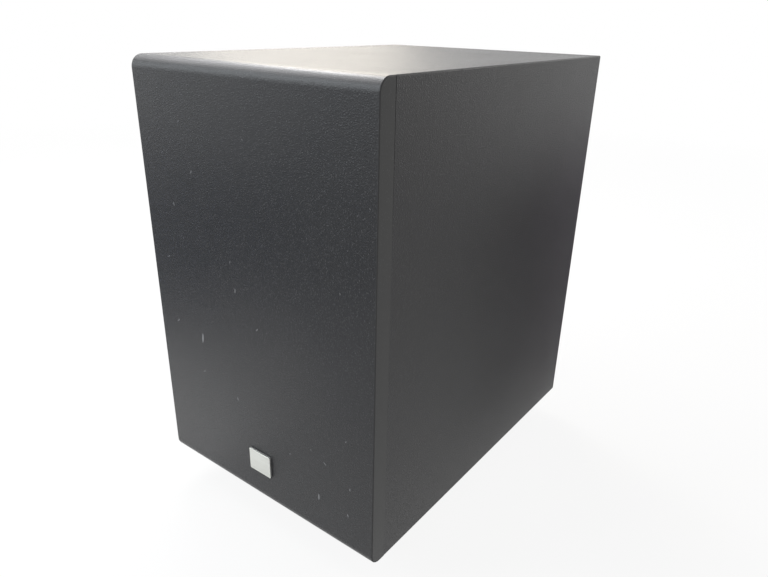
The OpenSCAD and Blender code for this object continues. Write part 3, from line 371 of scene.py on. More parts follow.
def clear_green():
    """The status lamp's tinted lens."""
    g = Graph("led_lens")
    depth = g.noise(500, 2)
    g.set(Base_Color=g.mix(g.remap(depth, 0, 1), (0.05, 0.4, 0.08), (0.12, 0.6, 0.16)), IOR=1.5)
    g.set(Roughness=g.remap(depth, 0.08, 0.2), Transmission_Weight=0.35, Normal=g.bump(depth, 0.00001))
    return g.mat


BLACK, GREY_BLACK = (0.007, 0.007, 0.0075), (0.014, 0.014, 0.0145)

MATERIALS = {
    "cabinet_vinyl": vinyl("cabinet_vinyl", VINYL_DARK, VINYL_LIGHT, VINYL_GRAIN),
    "raw_board": wood(),
    "wadding": fibres("wadding", (0.5, 0.5, 0.47), (0.76, 0.76, 0.72), 420, 0.0006, 0.35),
    "badge_metal": brushed("badge_metal", (0.56, 0.57, 0.535), (0.74, 0.75, 0.71), (0.34, 0.52),
                           (0.04, 1, 1)),
    "foot_plastic": grained("foot_plastic", BLACK, GREY_BLACK, (0.42, 0.6), 1500, 0.00009),
    "foot_rubber": grained("foot_rubber", BLACK, (0.017, 0.0165, 0.016), (0.7, 0.9), 900, 0.0001),
    "port_plastic": grained("port_plastic", BLACK, GREY_BLACK, (0.38, 0.55), 1300, 0.00008),
    "foam_seal": foam(),
    "basket_steel": grained("basket_steel", BLACK, GREY_BLACK, (0.32, 0.5), 620, 0.00007),
    "cone_paper": fibres("cone_paper", (0.009, 0.009, 0.01), (0.026, 0.026, 0.028), 800, 0.00013, 0.05),
    "cap_paper": fibres("cap_paper", (0.007, 0.007, 0.0075), (0.018, 0.018, 0.019), 1000, 0.0001, 0.05),
    "surround_rubber": grained("surround_rubber", BLACK, GREY_BLACK, (0.42, 0.58), 700, 0.00003),
    "spider_cloth": woven(),
    "former_film": grained("former_film", (0.3, 0.15, 0.02), (0.42, 0.23, 0.05), (0.2, 0.35), 300, 0.00002),
    "copper": winding("copper", 0.8 * MM, (0.42, 0.14, 0.05), (0.62, 0.25, 0.1), (0.22, 0.36)),
    "motor_steel": plated("motor_steel", (0.36, 0.37, 0.38), (0.5, 0.51, 0.52), (0.24, 0.42)),
    "ferrite": grained("ferrite", (0.02, 0.02, 0.021), (0.034, 0.034, 0.035), (0.55, 0.75), 500, 0.00012),
    "brass_tabs": plated("brass_tabs", (0.56, 0.4, 0.14), (0.7, 0.53, 0.22), (0.18, 0.34)),
    "black_screws": plated("black_screws", (0.03, 0.03, 0.031), (0.055, 0.055, 0.057), (0.28, 0.46)),
    "zinc_screws": plated("zinc_screws", (0.42, 0.43, 0.45), (0.6, 0.61, 0.62), (0.22, 0.4)),
    "plate_paint": grained("plate_paint", BLACK, (0.016, 0.016, 0.017), (0.4, 0.62), 1050, 0.00022),
    "circuit_board": circuit(),
    "bare_aluminium": brushed("bare_aluminium", (0.5, 0.5, 0.51), (0.66, 0.66, 0.67), (0.3, 0.46),
                              (1, 0.03, 1)),
    "chip_plastic": grained("chip_plastic", BLACK, GREY_BLACK, (0.45, 0.62), 2200, 0.00005),
    "capacitor_sleeve": grained("capacitor_sleeve", (0.008, 0.013, 0.045), (0.013, 0.02, 0.065),
                                (0.22, 0.34), 260, 0.00004),
    "transformer_tape": tape(),
    "case_steel": plated("case_steel", (0.4, 0.4, 0.41), (0.55, 0.55, 0.56), (0.25, 0.42)),
    "shaft_metal": brushed("shaft_metal", (0.5, 0.5, 0.5), (0.68, 0.68, 0.67), (0.26, 0.42),
                           (0.05, 1, 0.05), grain=1600),
    "knob_plastic": grained("knob_plastic", BLACK, GREY_BLACK, (0.34, 0.5), 1700, 0.00005),
    "led_lens": clear_green(),
    "jack_metal": plated("jack_metal", (0.55, 0.54, 0.52), (0.72, 0.71, 0.68), (0.12, 0.26)),
    "white_plastic": grained("white_plastic", (0.62, 0.62, 0.58), (0.72, 0.72, 0.68), (0.3, 0.42), 900,
                             0.00002),
    "red_plastic": grained("red_plastic", (0.3, 0.012, 0.012), (0.42, 0.02, 0.018), (0.3, 0.42), 900,
                           0.00002),
    "switch_plastic": grained("switch_plastic", BLACK, GREY_BLACK, (0.24, 0.4), 1500, 0.00004),
    "lead_sleeve": grained("lead_sleeve", BLACK, (0.016, 0.016, 0.016), (0.4, 0.55), 700, 0.00004),
    "speaker_sleeve": grained("speaker_sleeve", (0.16, 0.008, 0.008), (0.24, 0.014, 0.013), (0.38, 0.52), 700,
                              0.00004),
}
SMOOTH_VINYL = vinyl("smooth_vinyl", (0.039, 0.0395, 0.0395), (0.044, 0.044, 0.0435), 0.00004)
EDGE_LINE = grained("edge_line", (0.042, 0.042, 0.043), (0.05, 0.05, 0.05), (0.5, 0.7), 1500, 0.00004,
                    ior=VINYL_IOR)
BADGE_BACK = grained("badge_back", (0.2, 0.2, 0.195), (0.25, 0.25, 0.245), (0.5, 0.7), 1800, 0.00004)
PRINT = grained("print_white", (0.6, 0.6, 0.57), (0.74, 0.74, 0.71), (0.5, 0.65), 1400, 0.00001)
TINSEL = winding("tinsel", 2.2 * MM, (0.42, 0.14, 0.05), (0.62, 0.25, 0.1), (0.28, 0.42))
LINT = fibres("lint", (0.13, 0.13, 0.133), (0.26, 0.26, 0.266), 2600, 0.00002, 0.1)


def dress_nodes():
    """Gives every CAD node the finish of its slot."""
    for part in frame["record"]["subparts"]:
        for slot in NODES[part["node"]].material_slots:
            slot.material = MATERIALS[part["material_slot"]]


# Meshes

WELD = 1e-7


def add(name, verts, faces, mat, body="cabinet", crease=40, weigh=False):
    """A new piece from points and faces, welded, turned outwards and shaded smooth up to an angle."""
    mesh = bpy.data.meshes.new(name)
    mesh.from_pydata([tuple(v) for v in verts], [], faces)
    bm = bmesh.new()
    bm.from_mesh(mesh)
    bmesh.ops.remove_doubles(bm, verts=bm.verts, dist=WELD)
    bmesh.ops.recalc_face_normals(bm, faces=bm.faces)
    bm.to_mesh(mesh)
    bm.free()
    mesh.materials.append(mat)
    mesh.shade_smooth()
    mesh.set_sharp_from_angle(angle=math.radians(crease))
    obj = bpy.data.objects.new(name, mesh)
    SCENE.collection.objects.link(obj)
    if weigh:
        weighted(obj)
    if body:
        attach(obj, body)
    return obj


def weighted(obj):
    """Keeps large flat faces flat in their shading beside small rounded edges."""
    modifier = obj.modifiers.new("weighted", "WEIGHTED_NORMAL")
    modifier.keep_sharp = True
    modifier.weight = 100


def loft(sections):
    """Closed rings of points, joined one after the other, with flat ends."""
    n = len(sections[0])
    verts = [p for section in sections for p in section]
    faces = []
    for a in range(len(sections) - 1):
        for i in range(n):
            j = (i + 1) % n
            faces.append((a * n + i, a * n + j, (a + 1) * n + j, (a + 1) * n + i))
    faces.append(tuple(range(n)))
    faces.append(tuple(range((len(sections) - 1) * n, len(sections) * n)))
    return verts, faces


def eased(size, steps=4):
    """A quarter round: pairs of distance from the end and inset, from the end inwards."""
    turns = [math.pi / 2 * k / steps for k in range(steps + 1)]
    return [(size * (1 - math.cos(a)), size * (1 - math.sin(a))) for a in turns]


def inset(outline, size):
    """A convex outline moved inwards, given in counter-clockwise order."""
    moved = []
    for i, p in enumerate(outline):
        before, after = p - outline[i - 1], outline[(i + 1) % len(outline)] - p
        a = Vector((before.y, -before.x)).normalized()
        b = Vector((after.y, -after.x)).normalized()
        moved.append(p - size * (a + b) / (1 + a.dot(b)))
    return moved


def arc(centre, radius, start, end, steps):
    """Points on a circle from one angle to another, in degrees."""
    return [centre + radius * Vector((math.cos(a), math.sin(a)))
            for a in (math.radians(start + (end - start) * k / steps) for k in range(steps + 1))]


def rounded_rect(w, h, r, steps=6):
    """A rectangle about the origin with round corners, in counter-clockwise order."""
    corners = ((w / 2 - r, h / 2 - r, 0), (r - w / 2, h / 2 - r, 90), (r - w / 2, r - h / 2, 180),
               (w / 2 - r, r - h / 2, 270))
    return [p for x, y, a in corners for p in arc(Vector((x, y)), r, a, a + 90, steps)]


def tube_of(rings):
    """Closed rings of points, joined one after the other, and the last to the first."""
    n, m = len(rings[0]), len(rings)
    faces = [(a * n + i, a * n + (i + 1) % n, (a + 1) % m * n + (i + 1) % n, (a + 1) % m * n + i)
             for a in range(m) for i in range(n)]
    return [p for ring in rings for p in ring], faces


def merged(parts):
    """Several lists of points and faces as one."""
    verts, faces = [], []
    for v, f in parts:
        faces += [tuple(i + len(verts) for i in face) for face in f]
        verts += v
    return verts, faces


def smooth_route(points, steps):
    """A smooth curve through points, with its ends along the first and last steps."""
    ends = [2 * points[0] - points[1], *points, 2 * points[-1] - points[-2]]
    route = []
    for a, b, c, d in zip(ends, ends[1:], ends[2:], ends[3:]):
        for k in range(steps):
            t = k / steps
            route.append(0.5 * (2 * b + (c - a) * t + (2 * a - 5 * b + 4 * c - d) * t * t
                                + (3 * b - a - 3 * c + d) * t ** 3))
    return route + [points[-1]]


def twisted_lead(route, radius, side, turns):
    """A lead of three strands laid round each other."""
    sides, core, rise = 18, 0.88, 0.12
    length, sections = len(route) - 1, []
    for i, p in enumerate(route):
        along = (route[min(i + 1, length)] - route[max(i - 1, 0)]).normalized()
        a = along.cross(side).normalized()
        b = along.cross(a)
        ring = []
        for k in range(sides):
            angle = 2 * math.pi * k / sides
            r = radius * (core + rise * abs(math.cos(1.5 * angle + math.pi * turns * i / length)))
            ring.append(p + r * (math.cos(angle) * a + math.sin(angle) * b))
        sections.append(ring)
    return loft(sections)


# Cabinet

EDGE_R, PANEL_EASE, REAR_EASE = 1.3 * MM, 0.9 * MM, 0.8 * MM
BULLNOSE_R, BULLNOSE_STEPS = 10.5 * MM, 20
# The groove behind the front panel opens from a share of its height up and leans by a share of the easing
SEAM, SEAM_STEPS, SEAM_FROM, SEAM_LEAN = 0.06 * MM, 3, 0.4, 0.6
CUTOUT_R, REBATE_R, REBATE_D, REBATE_EASE = 90 * MM, 103.5 * MM, 4 * MM, 0.4 * MM
BADGE_R = 0.9 * MM
FRONT_VINYL = vinyl("front_vinyl", VINYL_DARK, VINYL_LIGHT, VINYL_GRAIN,
                    stretched=(MID_Z, HALF_H - BULLNOSE_R))


def front_panel():
    """The front panel: rounded top and bottom edges, eased sides and a fine groove at its rear."""
    reach = HALF_H - BULLNOSE_R

    def section(size):
        """The outline from the side, drawn in by size, at the rear only upwards, where the seam opens."""
        nose_y, nose_r, seam = FRONT_Y + BULLNOSE_R, BULLNOSE_R - size, HALF_H - SEAM - size
        outline = arc(Vector((nose_y, reach)), nose_r, 90, 180, BULLNOSE_STEPS)
        outline += arc(Vector((nose_y, -reach)), nose_r, 180, 270, BULLNOSE_STEPS)
        outline += arc(Vector((WRAP_Y - SEAM, -seam)), SEAM, 270, 360, SEAM_STEPS)
        outline.append(Vector((WRAP_Y, SEAM_FROM * reach)))
        return outline + arc(Vector((WRAP_Y - SEAM - SEAM_LEAN * size, seam)), SEAM, 0, 90, SEAM_STEPS)

    side = eased(PANEL_EASE)
    stations = [(step - HALF_W, size) for step, size in side]
    stations += [(HALF_W - step, size) for step, size in reversed(side)]
    sections = [[(x, p.x, MID_Z + p.y) for p in section(size)] for x, size in stations]
    board = add("front_board", *loft(sections), FRONT_VINYL, weigh=True)
    board.data.materials.append(SMOOTH_VINYL)
    board.data.materials.append(EDGE_LINE)
    for face in board.data.polygons:
        sideways = abs(face.normal.x)
        if sideways > 0.99:
            face.material_index = 1
        elif sideways > 0.1 and face.center.y < FRONT_Y + BULLNOSE_R / 2:
            face.material_index = 2
    return board


def wrapped_board(name, turn, half_long, half_short):
    """One board of the folded wrap, with mitred ends, round outer corners and eased edges.
    turn is how far it is turned from the top board's place, in quarter turns."""

    def section(size):
        """The outline of the board's end, with its outer side drawn in by size."""
        half, top = half_long - size, half_short - size
        right = arc(Vector((half - EDGE_R, top - EDGE_R)), EDGE_R, 45, 90, 4)
        left = arc(Vector((EDGE_R - half, top - EDGE_R)), EDGE_R, 90, 135, 4)
        inner = [Vector((BOARD_T - half_long, half_short - BOARD_T)),
                 Vector((half_long - BOARD_T, half_short - BOARD_T))]
        return right + left + inner

    stations = [(WRAP_Y + step, size) for step, size in eased(SEAM, 3)]
    stations += [(BACK_Y - step, size) for step, size in reversed(eased(REAR_EASE, 3))]
    spin = Matrix.Rotation(turn * math.pi / 2, 2)
    sections = []
    for y, size in stations:
        turned = [spin @ p for p in section(size)]
        sections.append([(p.x, y, MID_Z + p.y) for p in turned])
    return add(name, *loft(sections), MATERIALS["cabinet_vinyl"], weigh=True)


def bottom_board():
    """The bottom board, with the woofer's cut-out and the rebate for its flange."""
    middle = Vector((0, WOOFER_Y))
    half_d = (BACK_Y - WRAP_Y) / 2
    spokes, edge_steps = 96, 4
    corners = [math.atan2(sy * half_d, sx * HALF_W) % (2 * math.pi) for sx in (-1, 1) for sy in (-1, 1)]
    turns = sorted([2 * math.pi * k / spokes for k in range(spokes)] + corners)
    ways = [Vector((math.cos(a), math.sin(a))) for a in turns]

    def oblong(inset_x, inset_y, z):
        """The board's outline, drawn in along each axis."""
        ring = []
        for way in ways:
            reach = min(HALF_W / max(abs(way.x), 1e-9), half_d / max(abs(way.y), 1e-9))
            p = reach * way
            ring.append((p.x * (1 - inset_x / HALF_W), middle.y + p.y * (1 - inset_y / half_d), z))
        return ring

    def circle(radius, z):
        """A round about the woofer's axis."""
        return [(*(middle + radius * way), z) for way in ways]

    rings = [oblong(EDGE_R, SEAM, LOW_Z)]
    for k in range(1, edge_steps + 1):
        a, seam = math.pi / 4 / edge_steps * k, SEAM * (1 - k / edge_steps)
        rings.append(oblong(EDGE_R * (1 - math.sin(a)), seam, LOW_Z + EDGE_R * (1 - math.cos(a))))
    rings.append(oblong(BOARD_T, 0, LOW_Z + BOARD_T))
    opening = ((CUTOUT_R, BOARD_T), (CUTOUT_R, REBATE_D), (REBATE_R, REBATE_D), (REBATE_R, REBATE_EASE),
               (REBATE_R + REBATE_EASE, 0))
    rings += [circle(radius, LOW_Z + height) for radius, height in opening]
    return add("bottom_wrap", *tube_of(rings), MATERIALS["cabinet_vinyl"], weigh=True)


def cabinet():
    """The boards that show, in place of the CAD's sharp-edged ones."""
    boards = {"front_panel": front_panel(),
              "top_board": wrapped_board("top_wrap", 0, HALF_W, HALF_H),
              "left_board": wrapped_board("left_wrap", 1, HALF_H, HALF_W),
              "right_board": wrapped_board("right_wrap", 3, HALF_H, HALF_W),
              "bottom_board": bottom_board()}
    for node, board in boards.items():
        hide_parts(node)


def badge():
    """A bare satin plate on a grey carrier."""
    lo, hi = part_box("badge")
    middle = Vector(((lo.x + hi.x) / 2, (lo.z + hi.z) / 2))
    w, h = hi.x - lo.x, hi.z - lo.z

    def plate(name, shrink, y_in, y_out, ease, mat):
        """One layer of the badge, with its outer edge eased."""
        outline = rounded_rect(w - shrink, h - shrink, BADGE_R)
        stations = [(y_in, 0)] + [(y_out + step, size) for step, size in reversed(eased(ease, 3))]
        sections = [[(middle.x + p.x, y, middle.y + p.y) for p in (inset(outline, size) if size else outline)]
                    for y, size in stations]
        piece = add(name, *loft(sections), mat, weigh=True)
        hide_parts("badge")

    plate("badge_carrier", shrink=0.2 * MM, y_in=FRONT_Y, y_out=FRONT_Y - 1.4 * MM, ease=0.1 * MM,
          mat=BADGE_BACK)
    plate("badge_face", shrink=0, y_in=FRONT_Y - 1.3 * MM, y_out=lo.y, ease=0.15 * MM,
          mat=MATERIALS["badge_metal"])


def wadding():
    """A pad of wadding behind the front panel: full in the middle, drawn in at its edges and stitches."""
    lo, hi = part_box("acoustic_wadding")
    n, pull, least, stitches, stitch_area = 44, 0.035, 0.3 * MM, (-0.5, 0, 0.5), 0.012
    face, back = [], []
    rand = random.Random(4)
    waves = [(rand.uniform(2, 7), rand.uniform(2, 7), rand.uniform(0, 6)) for _ in range(6)]
    for j in range(n + 1):
        for i in range(n + 1):
            u, v = 2 * i / n - 1, 2 * j / n - 1
            drawn_x, drawn_z = 1 - pull * (1 - v * v), 1 - pull * (1 - u * u)
            x = (lo.x + hi.x) / 2 + u * drawn_x * (hi.x - lo.x) / 2
            z = (lo.z + hi.z) / 2 + v * drawn_z * (hi.z - lo.z) / 2
            full = ((1 - u ** 6) * (1 - v ** 6)) ** 0.4
            lumps = sum(math.sin(a * u + b * v + c) for a, b, c in waves) / len(waves)
            stitch = sum(math.exp(-((u - su) ** 2 + (v - sv) ** 2) / stitch_area)
                         for su in stitches for sv in stitches)
            depth = (hi.y - lo.y) * full * (0.84 + 0.12 * lumps - 0.42 * stitch)
            back.append((x, lo.y, z))
            face.append((x, lo.y + max(depth, least), z))
    m = n + 1
    quads = [(j * m + i, j * m + i + 1, (j + 1) * m + i + 1, (j + 1) * m + i)
             for j in range(n) for i in range(n)]
    rim = list(range(m)) + [j * m + n for j in range(1, m)] + [n * m + i for i in range(n - 1, -1, -1)]
    rim += [j * m for j in range(n - 1, 0, -1)]
    size = m * m
    faces = quads + [tuple(q + size for q in reversed(quad)) for quad in quads]
    faces += [(a, b, b + size, a + size) for a, b in zip(rim, rim[1:] + rim[:1])]
    pad = add("wadding_pad", face + back, faces, MATERIALS["wadding"], crease=80)
    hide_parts("acoustic_wadding")


def lint():
    """Fluff and small scuffs that lie on the front panel: places across and up, in millimetres, and sizes."""
    rand = random.Random(11)
    spots = [(-68.0, 177.0, 2.5), (-18.7, 236.5, 1.3), (5.2, 208.7, 0.9), (-26.0, 130.4, 1.2),
             (-70.0, 142.4, 1.0), (-101.5, 184.4, 1.1), (94.7, 265.8, 0.7), (37.2, 101.6, 0.9),
             (99.8, 143.2, 0.9), (103.8, 99.1, 0.9), (69.9, 73.5, 1.9), (101.7, 71.5, 1.2),
             (77.4, 111.2, 0.9), (62.1, 117.7, 0.8), (124.6, 285.1, 0.4), (-22.2, 260.8, 0.9),
             (-61.7, 119.0, 0.7), (-61.8, 327.5, 1.0), (2.0, 360.7, 0.6), (-89.4, 296.2, 1.2),
             (-72.0, 366.1, 0.7), (120.5, 332.0, 0.5), (-105.4, 245.9, 0.8)]
    parts = [sliver(Vector((x * MM, FRONT_Y, z * MM)), size, rand) for x, z, size in spots]
    piece = add("lint", *merged(parts), LINT, crease=80)


def sliver(at, size, rand):
    """One curved, pointed thread that lies on the front panel."""
    right, up, out = Vector((1, 0, 0)), Vector((0, 0, 1)), Vector((0, -1, 0))
    square, steps, tip = 1.57, 6, 1.05
    turn, bend = rand.uniform(0.6, 2.4), rand.uniform(-0.5, 0.5)
    long, wide, thick = 1.9 * MM * size * rand.uniform(0.7, 1.2), 0.9 * MM * size, 0.12 * MM

    def way(angle):
        """A direction on the panel."""
        return math.cos(angle) * right + math.sin(angle) * up

    sections = []
    for k in range(steps + 1):
        t = k / steps * 2 - 1
        p = at + t * long * way(turn) + bend * t * t * long * 0.5 * way(turn + square)
        across = way(turn + bend * t + square)
        w = wide * (tip - t * t) / 2
        sections.append([p - w * across, p + w * across, p + w * 0.5 * across + thick * out,
                         p - w * 0.5 * across + thick * out])
    return loft(sections)


# Woofer: the rings and leads between the cabinet and the cone

SURROUND_SECTORS, SPIDER_SECTORS, SECTOR_STEPS = 24, 16, 5


def bending_ring(name, profile, sectors, slot, node):
    """A ring of the woofer in radial sectors, each between the cabinet and the cone.
    profile is a closed loop of radius and distance below the flange's seat, in millimetres."""
    half = math.pi / sectors
    for k in range(sectors):
        mid = 2 * math.pi * (k + 0.5) / sectors
        sections = []
        for s in range(SECTOR_STEPS + 1):
            a = mid + half * (2 * s / SECTOR_STEPS - 1)
            sections.append([(MM * r * math.cos(a), WOOFER_Y + MM * r * math.sin(a), FLANGE_Z - MM * d)
                             for r, d in profile])
        piece = add(f"{name}_{k + 1:02d}", *loft(sections), MATERIALS[slot], body=None, crease=60)
        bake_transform(piece)
        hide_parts(node)


def surround():
    """The rubber half roll between the cone's lip and the basket's flange."""
    mid_r, roll_r, seat, thick = 82.25, 6.25, 1.5, 0.9
    lip_r, rim_r, in_r = 71, 93, roll_r - thick
    foot = math.degrees(math.asin(thick / roll_r))
    outer = arc(Vector((mid_r, seat)), roll_r, 180 - foot, foot, 16)
    inner = arc(Vector((mid_r, seat)), in_r, 0, 180, 16)
    loop = [Vector((lip_r, seat)), Vector((lip_r, seat + thick)), *outer,
            Vector((rim_r, seat + thick)), Vector((rim_r, seat)), *inner]
    bending_ring("surround", loop, SURROUND_SECTORS, "surround_rubber", "surround")


def spider():
    """The corrugated spider between the coil former and the basket's ledge."""
    r_in, r_out, wave_in, wave_out = 19.95, 63, 24.95, 54
    level, thick, swing, waves, steps = -37.4, 0.6, 1.6, 4, 48
    line = [Vector((r_in, 0))]
    for i in range(steps + 1):
        line.append(Vector((wave_in + (wave_out - wave_in) * i / steps,
                            swing * math.sin(2 * math.pi * waves * i / steps))))
    line.append(Vector((r_out, 0)))
    loop = [Vector((p.x, level + p.y)) for p in line]
    loop += [Vector((p.x, level - thick + p.y)) for p in reversed(line)]
    bending_ring("spider", loop, SPIDER_SECTORS, "spider_cloth", "spider")


def tinsel():
    """Two flexible leads from the terminal board to the back of the cone."""
    route = ((72, -39.5), (72, -35.5), (71, -29.5), (67, -21.5), (61, -12.63), (58, -8.63))
    lead_r, turns = 0.68 * MM, 26
    parts = []
    for x in (-7, 7):
        points = [Vector((MM * x, WOOFER_Y + MM * r, FLANGE_Z - MM * d)) for r, d in route]
        parts.append(twisted_lead(smooth_route(points, 10), lead_r, Vector((1, 0, 0)), turns))
    piece = add("tinsel_pair", *merged(parts), TINSEL, body=None, crease=50)
    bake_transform(piece)
    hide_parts("tinsel_leads")


# Rear: print on the amplifier plate, in u to the right and v up as seen from behind

PRINT_T = 0.05 * MM


def on_plate(u, v, out=0.0):
    """A place on the plate, or as far in front of it as out says."""
    return Vector((-u * MM, PLATE_Y + out, PLATE_Z + v * MM))


def bar(u, v, w, h, turn=0.0):
    """A printed line or dot of the plate, with slightly rounded ends."""
    spin = Matrix.Rotation(turn, 2)
    outline = [spin @ p for p in rounded_rect(w, h, min(w, h) * 0.35, 2)]
    return loft([[on_plate(u + p.x, v + p.y, out) for p in outline] for out in (0, PRINT_T)])


def word(text, u, v, size):
    """A printed word of the plate, in Blender's own letters, centred on a place."""
    half = 0.5
    data = bpy.data.curves.new("word", "FONT")
    data.body = text
    data.size = size
    data.resolution_u = 3
    data.align_x, data.align_y = "CENTER", "CENTER"
    data.extrude = half
    obj = bpy.data.objects.new("word", data)
    SCENE.collection.objects.link(obj)
    mesh = bpy.data.meshes.new_from_object(obj.evaluated_get(bpy.context.evaluated_depsgraph_get()))
    verts = [on_plate(u + p.co.x, v + p.co.y, PRINT_T * (p.co.z + half)) for p in mesh.vertices]
    faces = [tuple(face.vertices) for face in mesh.polygons]
    bpy.data.objects.remove(obj)
    bpy.data.curves.remove(data)
    bpy.data.meshes.remove(mesh)
    return verts, faces


def plate_print():
    """Names and scales of the controls and connectors, as one thin layer of print."""
    level, crossover, phase, lamp_at = (-42, 50), (4, 50), (48, 50), (48, 14)
    jacks, rocker, inlet = (-36, 8), (18, -62), (54, -62)
    title, mark, side, sign = 4.6, 3.4, 3.6, 4
    title_up, mark_out, mark_up = 22, 12.5, -16.5
    scale_r, ticks, tick_w, line_w = 13.2, 11, 0.45, 0.35
    parts = []
    for (u, v), name, low, high in ((level, "LEVEL", "MIN", "MAX"), (crossover, "CROSSOVER", "50", "150")):
        for k in range(ticks):
            a = math.radians(240 - 30 * k)
            long = 3 if k % 5 == 0 else 2
            r = scale_r + long / 2
            parts.append(bar(u + r * math.cos(a), v + r * math.sin(a), long, tick_w, a))
        parts += [word(name, u, v + title_up, title), word(low, u - mark_out, v + mark_up, mark),
                  word(high, u + mark_out, v + mark_up, mark)]
    for text, (u, v), right, up, size in (
            ("Hz", crossover, 0, mark_up, mark),
            ("PHASE", phase, 0, title_up, title), ("0", phase, 9, 0, mark), ("180", phase, -10.5, 0, mark),
            ("ON", lamp_at, 0, -6, mark),
            ("LINE IN", jacks, 0, 13.5, title), ("L", jacks, -10, -10.5, side), ("R", jacks, 10, -10.5, side),
            ("POWER", rocker, 0, 20, title), ("I", rocker, 13, 6, sign), ("O", rocker, 13, -6, sign),
            ("MAINS", inlet, 0, 20, title)):
        parts.append(word(text, u + right, v + up, size))
    for u0, u1, v in ((-72, 72, 80), (-72, 72, 28), (-72, -4, -12), (8, 72, -34)):
        parts.append(bar((u0 + u1) / 2, v, u1 - u0, line_w))
    piece = add("plate_print", *merged(parts), PRINT, crease=30)


def pointers():
    """The white fill in the groove of each knob."""
    up, wide, long, corner, bottom, top = (size * MM for size in (7.2, 1.05, 6.4, 0.3, 0.58, 0.16))
    for node, body in (("level_knob", "level_control"), ("crossover_knob", "crossover_control")):
        lo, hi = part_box(node)
        x, z = (lo.x + hi.x) / 2, (lo.z + hi.z) / 2
        outline = [(x + p.x, z + up + p.y) for p in rounded_rect(wide, long, corner, 3)]
        sections = [[(px, y, pz) for px, pz in outline] for y in (hi.y - bottom, hi.y - top)]
        piece = add(node.replace("knob", "pointer"), *loft(sections), PRINT, body=body)


# Stage


def seen_rays(tree):
    """1 for rays that show a surface: from the camera, a mirror or glass."""
    path = tree.nodes.new("ShaderNodeLightPath")
    total = path.outputs["Is Camera Ray"]
    for name in ("Is Glossy Ray", "Is Transmission Ray"):
        largest = tree.nodes.new("ShaderNodeMath")
        largest.operation = "MAXIMUM"
        tree.links.new(total, largest.inputs[0])
        tree.links.new(path.outputs[name], largest.inputs[1])
        total = largest.outputs[0]
    return total


def world(ambient):
    """White surroundings in the picture and in gloss, which light the rest only by ambient."""
    made = bpy.data.worlds.new("studio")
    SCENE.world = made
    made.use_nodes = True
    tree = made.node_tree
    light = tree.nodes["Background"]
    light.inputs["Color"].default_value = (1, 1, 1, 1)
    light.inputs["Strength"].default_value = ambient
    seen = tree.nodes.new("ShaderNodeBackground")
    seen.inputs["Color"].default_value = (1, 1, 1, 1)
    seen.inputs["Strength"].default_value = 1
    both = tree.nodes.new("ShaderNodeMixShader")
    tree.links.new(seen_rays(tree), both.inputs[0])
    tree.links.new(light.outputs[0], both.inputs[1])
    tree.links.new(seen.outputs[0], both.inputs[2])
    tree.links.new(both.outputs[0], tree.nodes["World Output"].inputs["Surface"])


def floor(near, far, share):
    """A wide pale floor. Camera and mirrors see it white, with share of white near the object, where the rest
    keeps the shadow, and all white further off. It doesn't show from below."""
    mat = bpy.data.materials.new("floor")
    mat.use_nodes = True
    tree = mat.node_tree
    tree.nodes.clear()

    def link(kind, *inputs, **settings):
        """A new node's first output, after its first inputs are linked or set."""
        made = tree.nodes.new("ShaderNode" + kind)
        for key, value in settings.items():
            setattr(made, key, value)
        for socket, value in zip(made.inputs, inputs):
            if isinstance(value, bpy.types.NodeSocket):
                tree.links.new(value, socket)
            elif value is not None:
                socket.default_value = value
        return made.outputs[0]

    place = tree.nodes.new("ShaderNodeTexCoord").outputs["Object"]
    length = tree.nodes.new("ShaderNodeVectorMath")
    length.operation = "LENGTH"
    tree.links.new(place, length.inputs[0])
    white = link("MapRange", length.outputs["Value"], near, far, share, 1.0)
    white = link("Math", white, seen_rays(tree), operation="MULTIPLY")
    paint = link("BsdfDiffuse", (0.8, 0.8, 0.8, 1))
    shown = link("MixShader", white, paint, link("Emission", (1, 1, 1, 1), 1.0))
    below = tree.nodes.new("ShaderNodeNewGeometry").outputs["Backfacing"]
    under = link("MixShader", below, shown, link("BsdfTransparent"))
    out = tree.nodes.new("ShaderNodeOutputMaterial")
    tree.links.new(under, out.inputs["Surface"])
    radius, sides = 30, 96
    ring = [(radius * math.cos(2 * math.pi * k / sides), radius * math.sin(2 * math.pi * k / sides), 0)
            for k in range(sides)]
    mesh = bpy.data.meshes.new("floor")
    mesh.from_pydata(ring, [], [tuple(range(sides))])
    mesh.materials.append(mat)
    obj = bpy.data.objects.new("floor", mesh)
    SCENE.collection.objects.link(obj)


def lamp(name, at, aim, size, power, colour=(1, 1, 1)):
    """A soft lamp of a width and height, in watts, that the camera doesn't see."""
    data = bpy.data.lights.new(name, "AREA")
    data.shape = "RECTANGLE"
    data.size, data.size_y = size
    data.energy = power
    data.color = colour
    obj = bpy.data.objects.new(name, data)
    SCENE.collection.objects.link(obj)
    obj.location = at
    obj.rotation_euler = (Vector(aim) - Vector(at)).to_track_quat("-Z", "Y").to_euler()
    obj.visible_camera = False


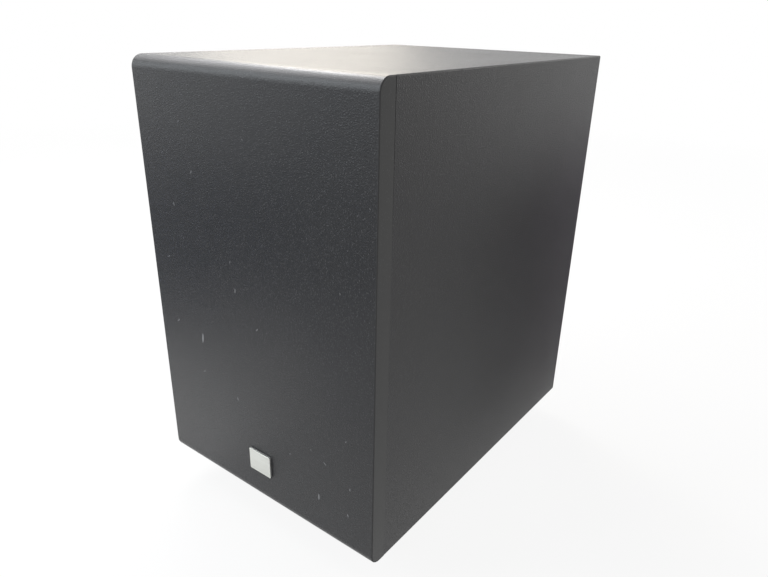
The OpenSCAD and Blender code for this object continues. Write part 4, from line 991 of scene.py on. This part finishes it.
def flag(name, at, face, size, shade, share=1.0, core=0.35):
    """A dark gauze on an upright frame beside the picture, which only shows in the object's gloss. It keeps
    share of what is behind it off, out to core of its half width and height, and thins from there to its
    edges."""
    g = Graph(name)
    g.set(Base_Color=(*shade, 1), Roughness=1.0)
    whole = share
    for axis in "XY":
        fade = g.remap(g.math("ABSOLUTE", g.along(axis)), 1, 0, core, 1.0, smooth=True)
        whole = g.math("MULTIPLY", fade, whole)
    g.set(Alpha=whole)
    mesh = bpy.data.meshes.new(name)
    mesh.from_pydata([(-1, -1, 0), (1, -1, 0), (1, 1, 0), (-1, 1, 0)], [], [(0, 1, 2, 3)])
    mesh.materials.append(g.mat)
    obj = bpy.data.objects.new(name, mesh)
    SCENE.collection.objects.link(obj)
    across = Vector((-face[1], face[0], 0)).normalized()
    turn = Matrix((across, (0, 0, 1), (across.y, -across.x, 0))).transposed().to_4x4()
    obj.matrix_world = Matrix.Translation(at) @ turn @ Matrix.Diagonal((size[0] / 2, size[1] / 2, 1, 1))
    obj.visible_camera = obj.visible_diffuse = obj.visible_shadow = False


make_camera()
world(ambient=0.3)
floor(near=0.6, far=2.5, share=0.9)
lamp("key", (-1.45, 0.0, 2.15), (0, 0, 0.4), (1.9, 1.4), 50, (0.98, 0.98, 1.0))
lamp("fill", (-1.35, -1.6, 1.25), (0, 0, 0.35), (1.2, 1.35), 34, (0.88, 0.95, 1.0))
lamp("back", (-0.88, 0.82, 1.15), (0, 0, 0.4), (0.6, 1.0), 7, (1.0, 0.92, 0.8))
lamp("rim", (-1.29, 0.66, 1.65), (0, -0.18, 0.41), (0.4, 0.4), 7.5)
lamp("rear", (1.3, 1.9, 1.1), (0, 0, 0.3), (1.0, 0.7), 12, (1.0, 0.97, 0.93))
lamp("pool", (-0.25, -0.262, 0.004), (-0.25, -0.262, 1), (0.28, 0.11), 0.06)
flag("front_flag", (-0.26, -0.45, 0.12), (-0.26, -0.45), (1.4, 0.4), (0.15, 0.175, 0.25))
flag("side_flag", (0.16, 0.47, 0.14), (1, 0), (1.3, 0.48), (0.22, 0.2, 0.24), share=0.95, core=0.4)
dress_nodes()
cabinet()
badge()
wadding()
lint()
surround()
spider()
tinsel()
plate_print()
pointers()
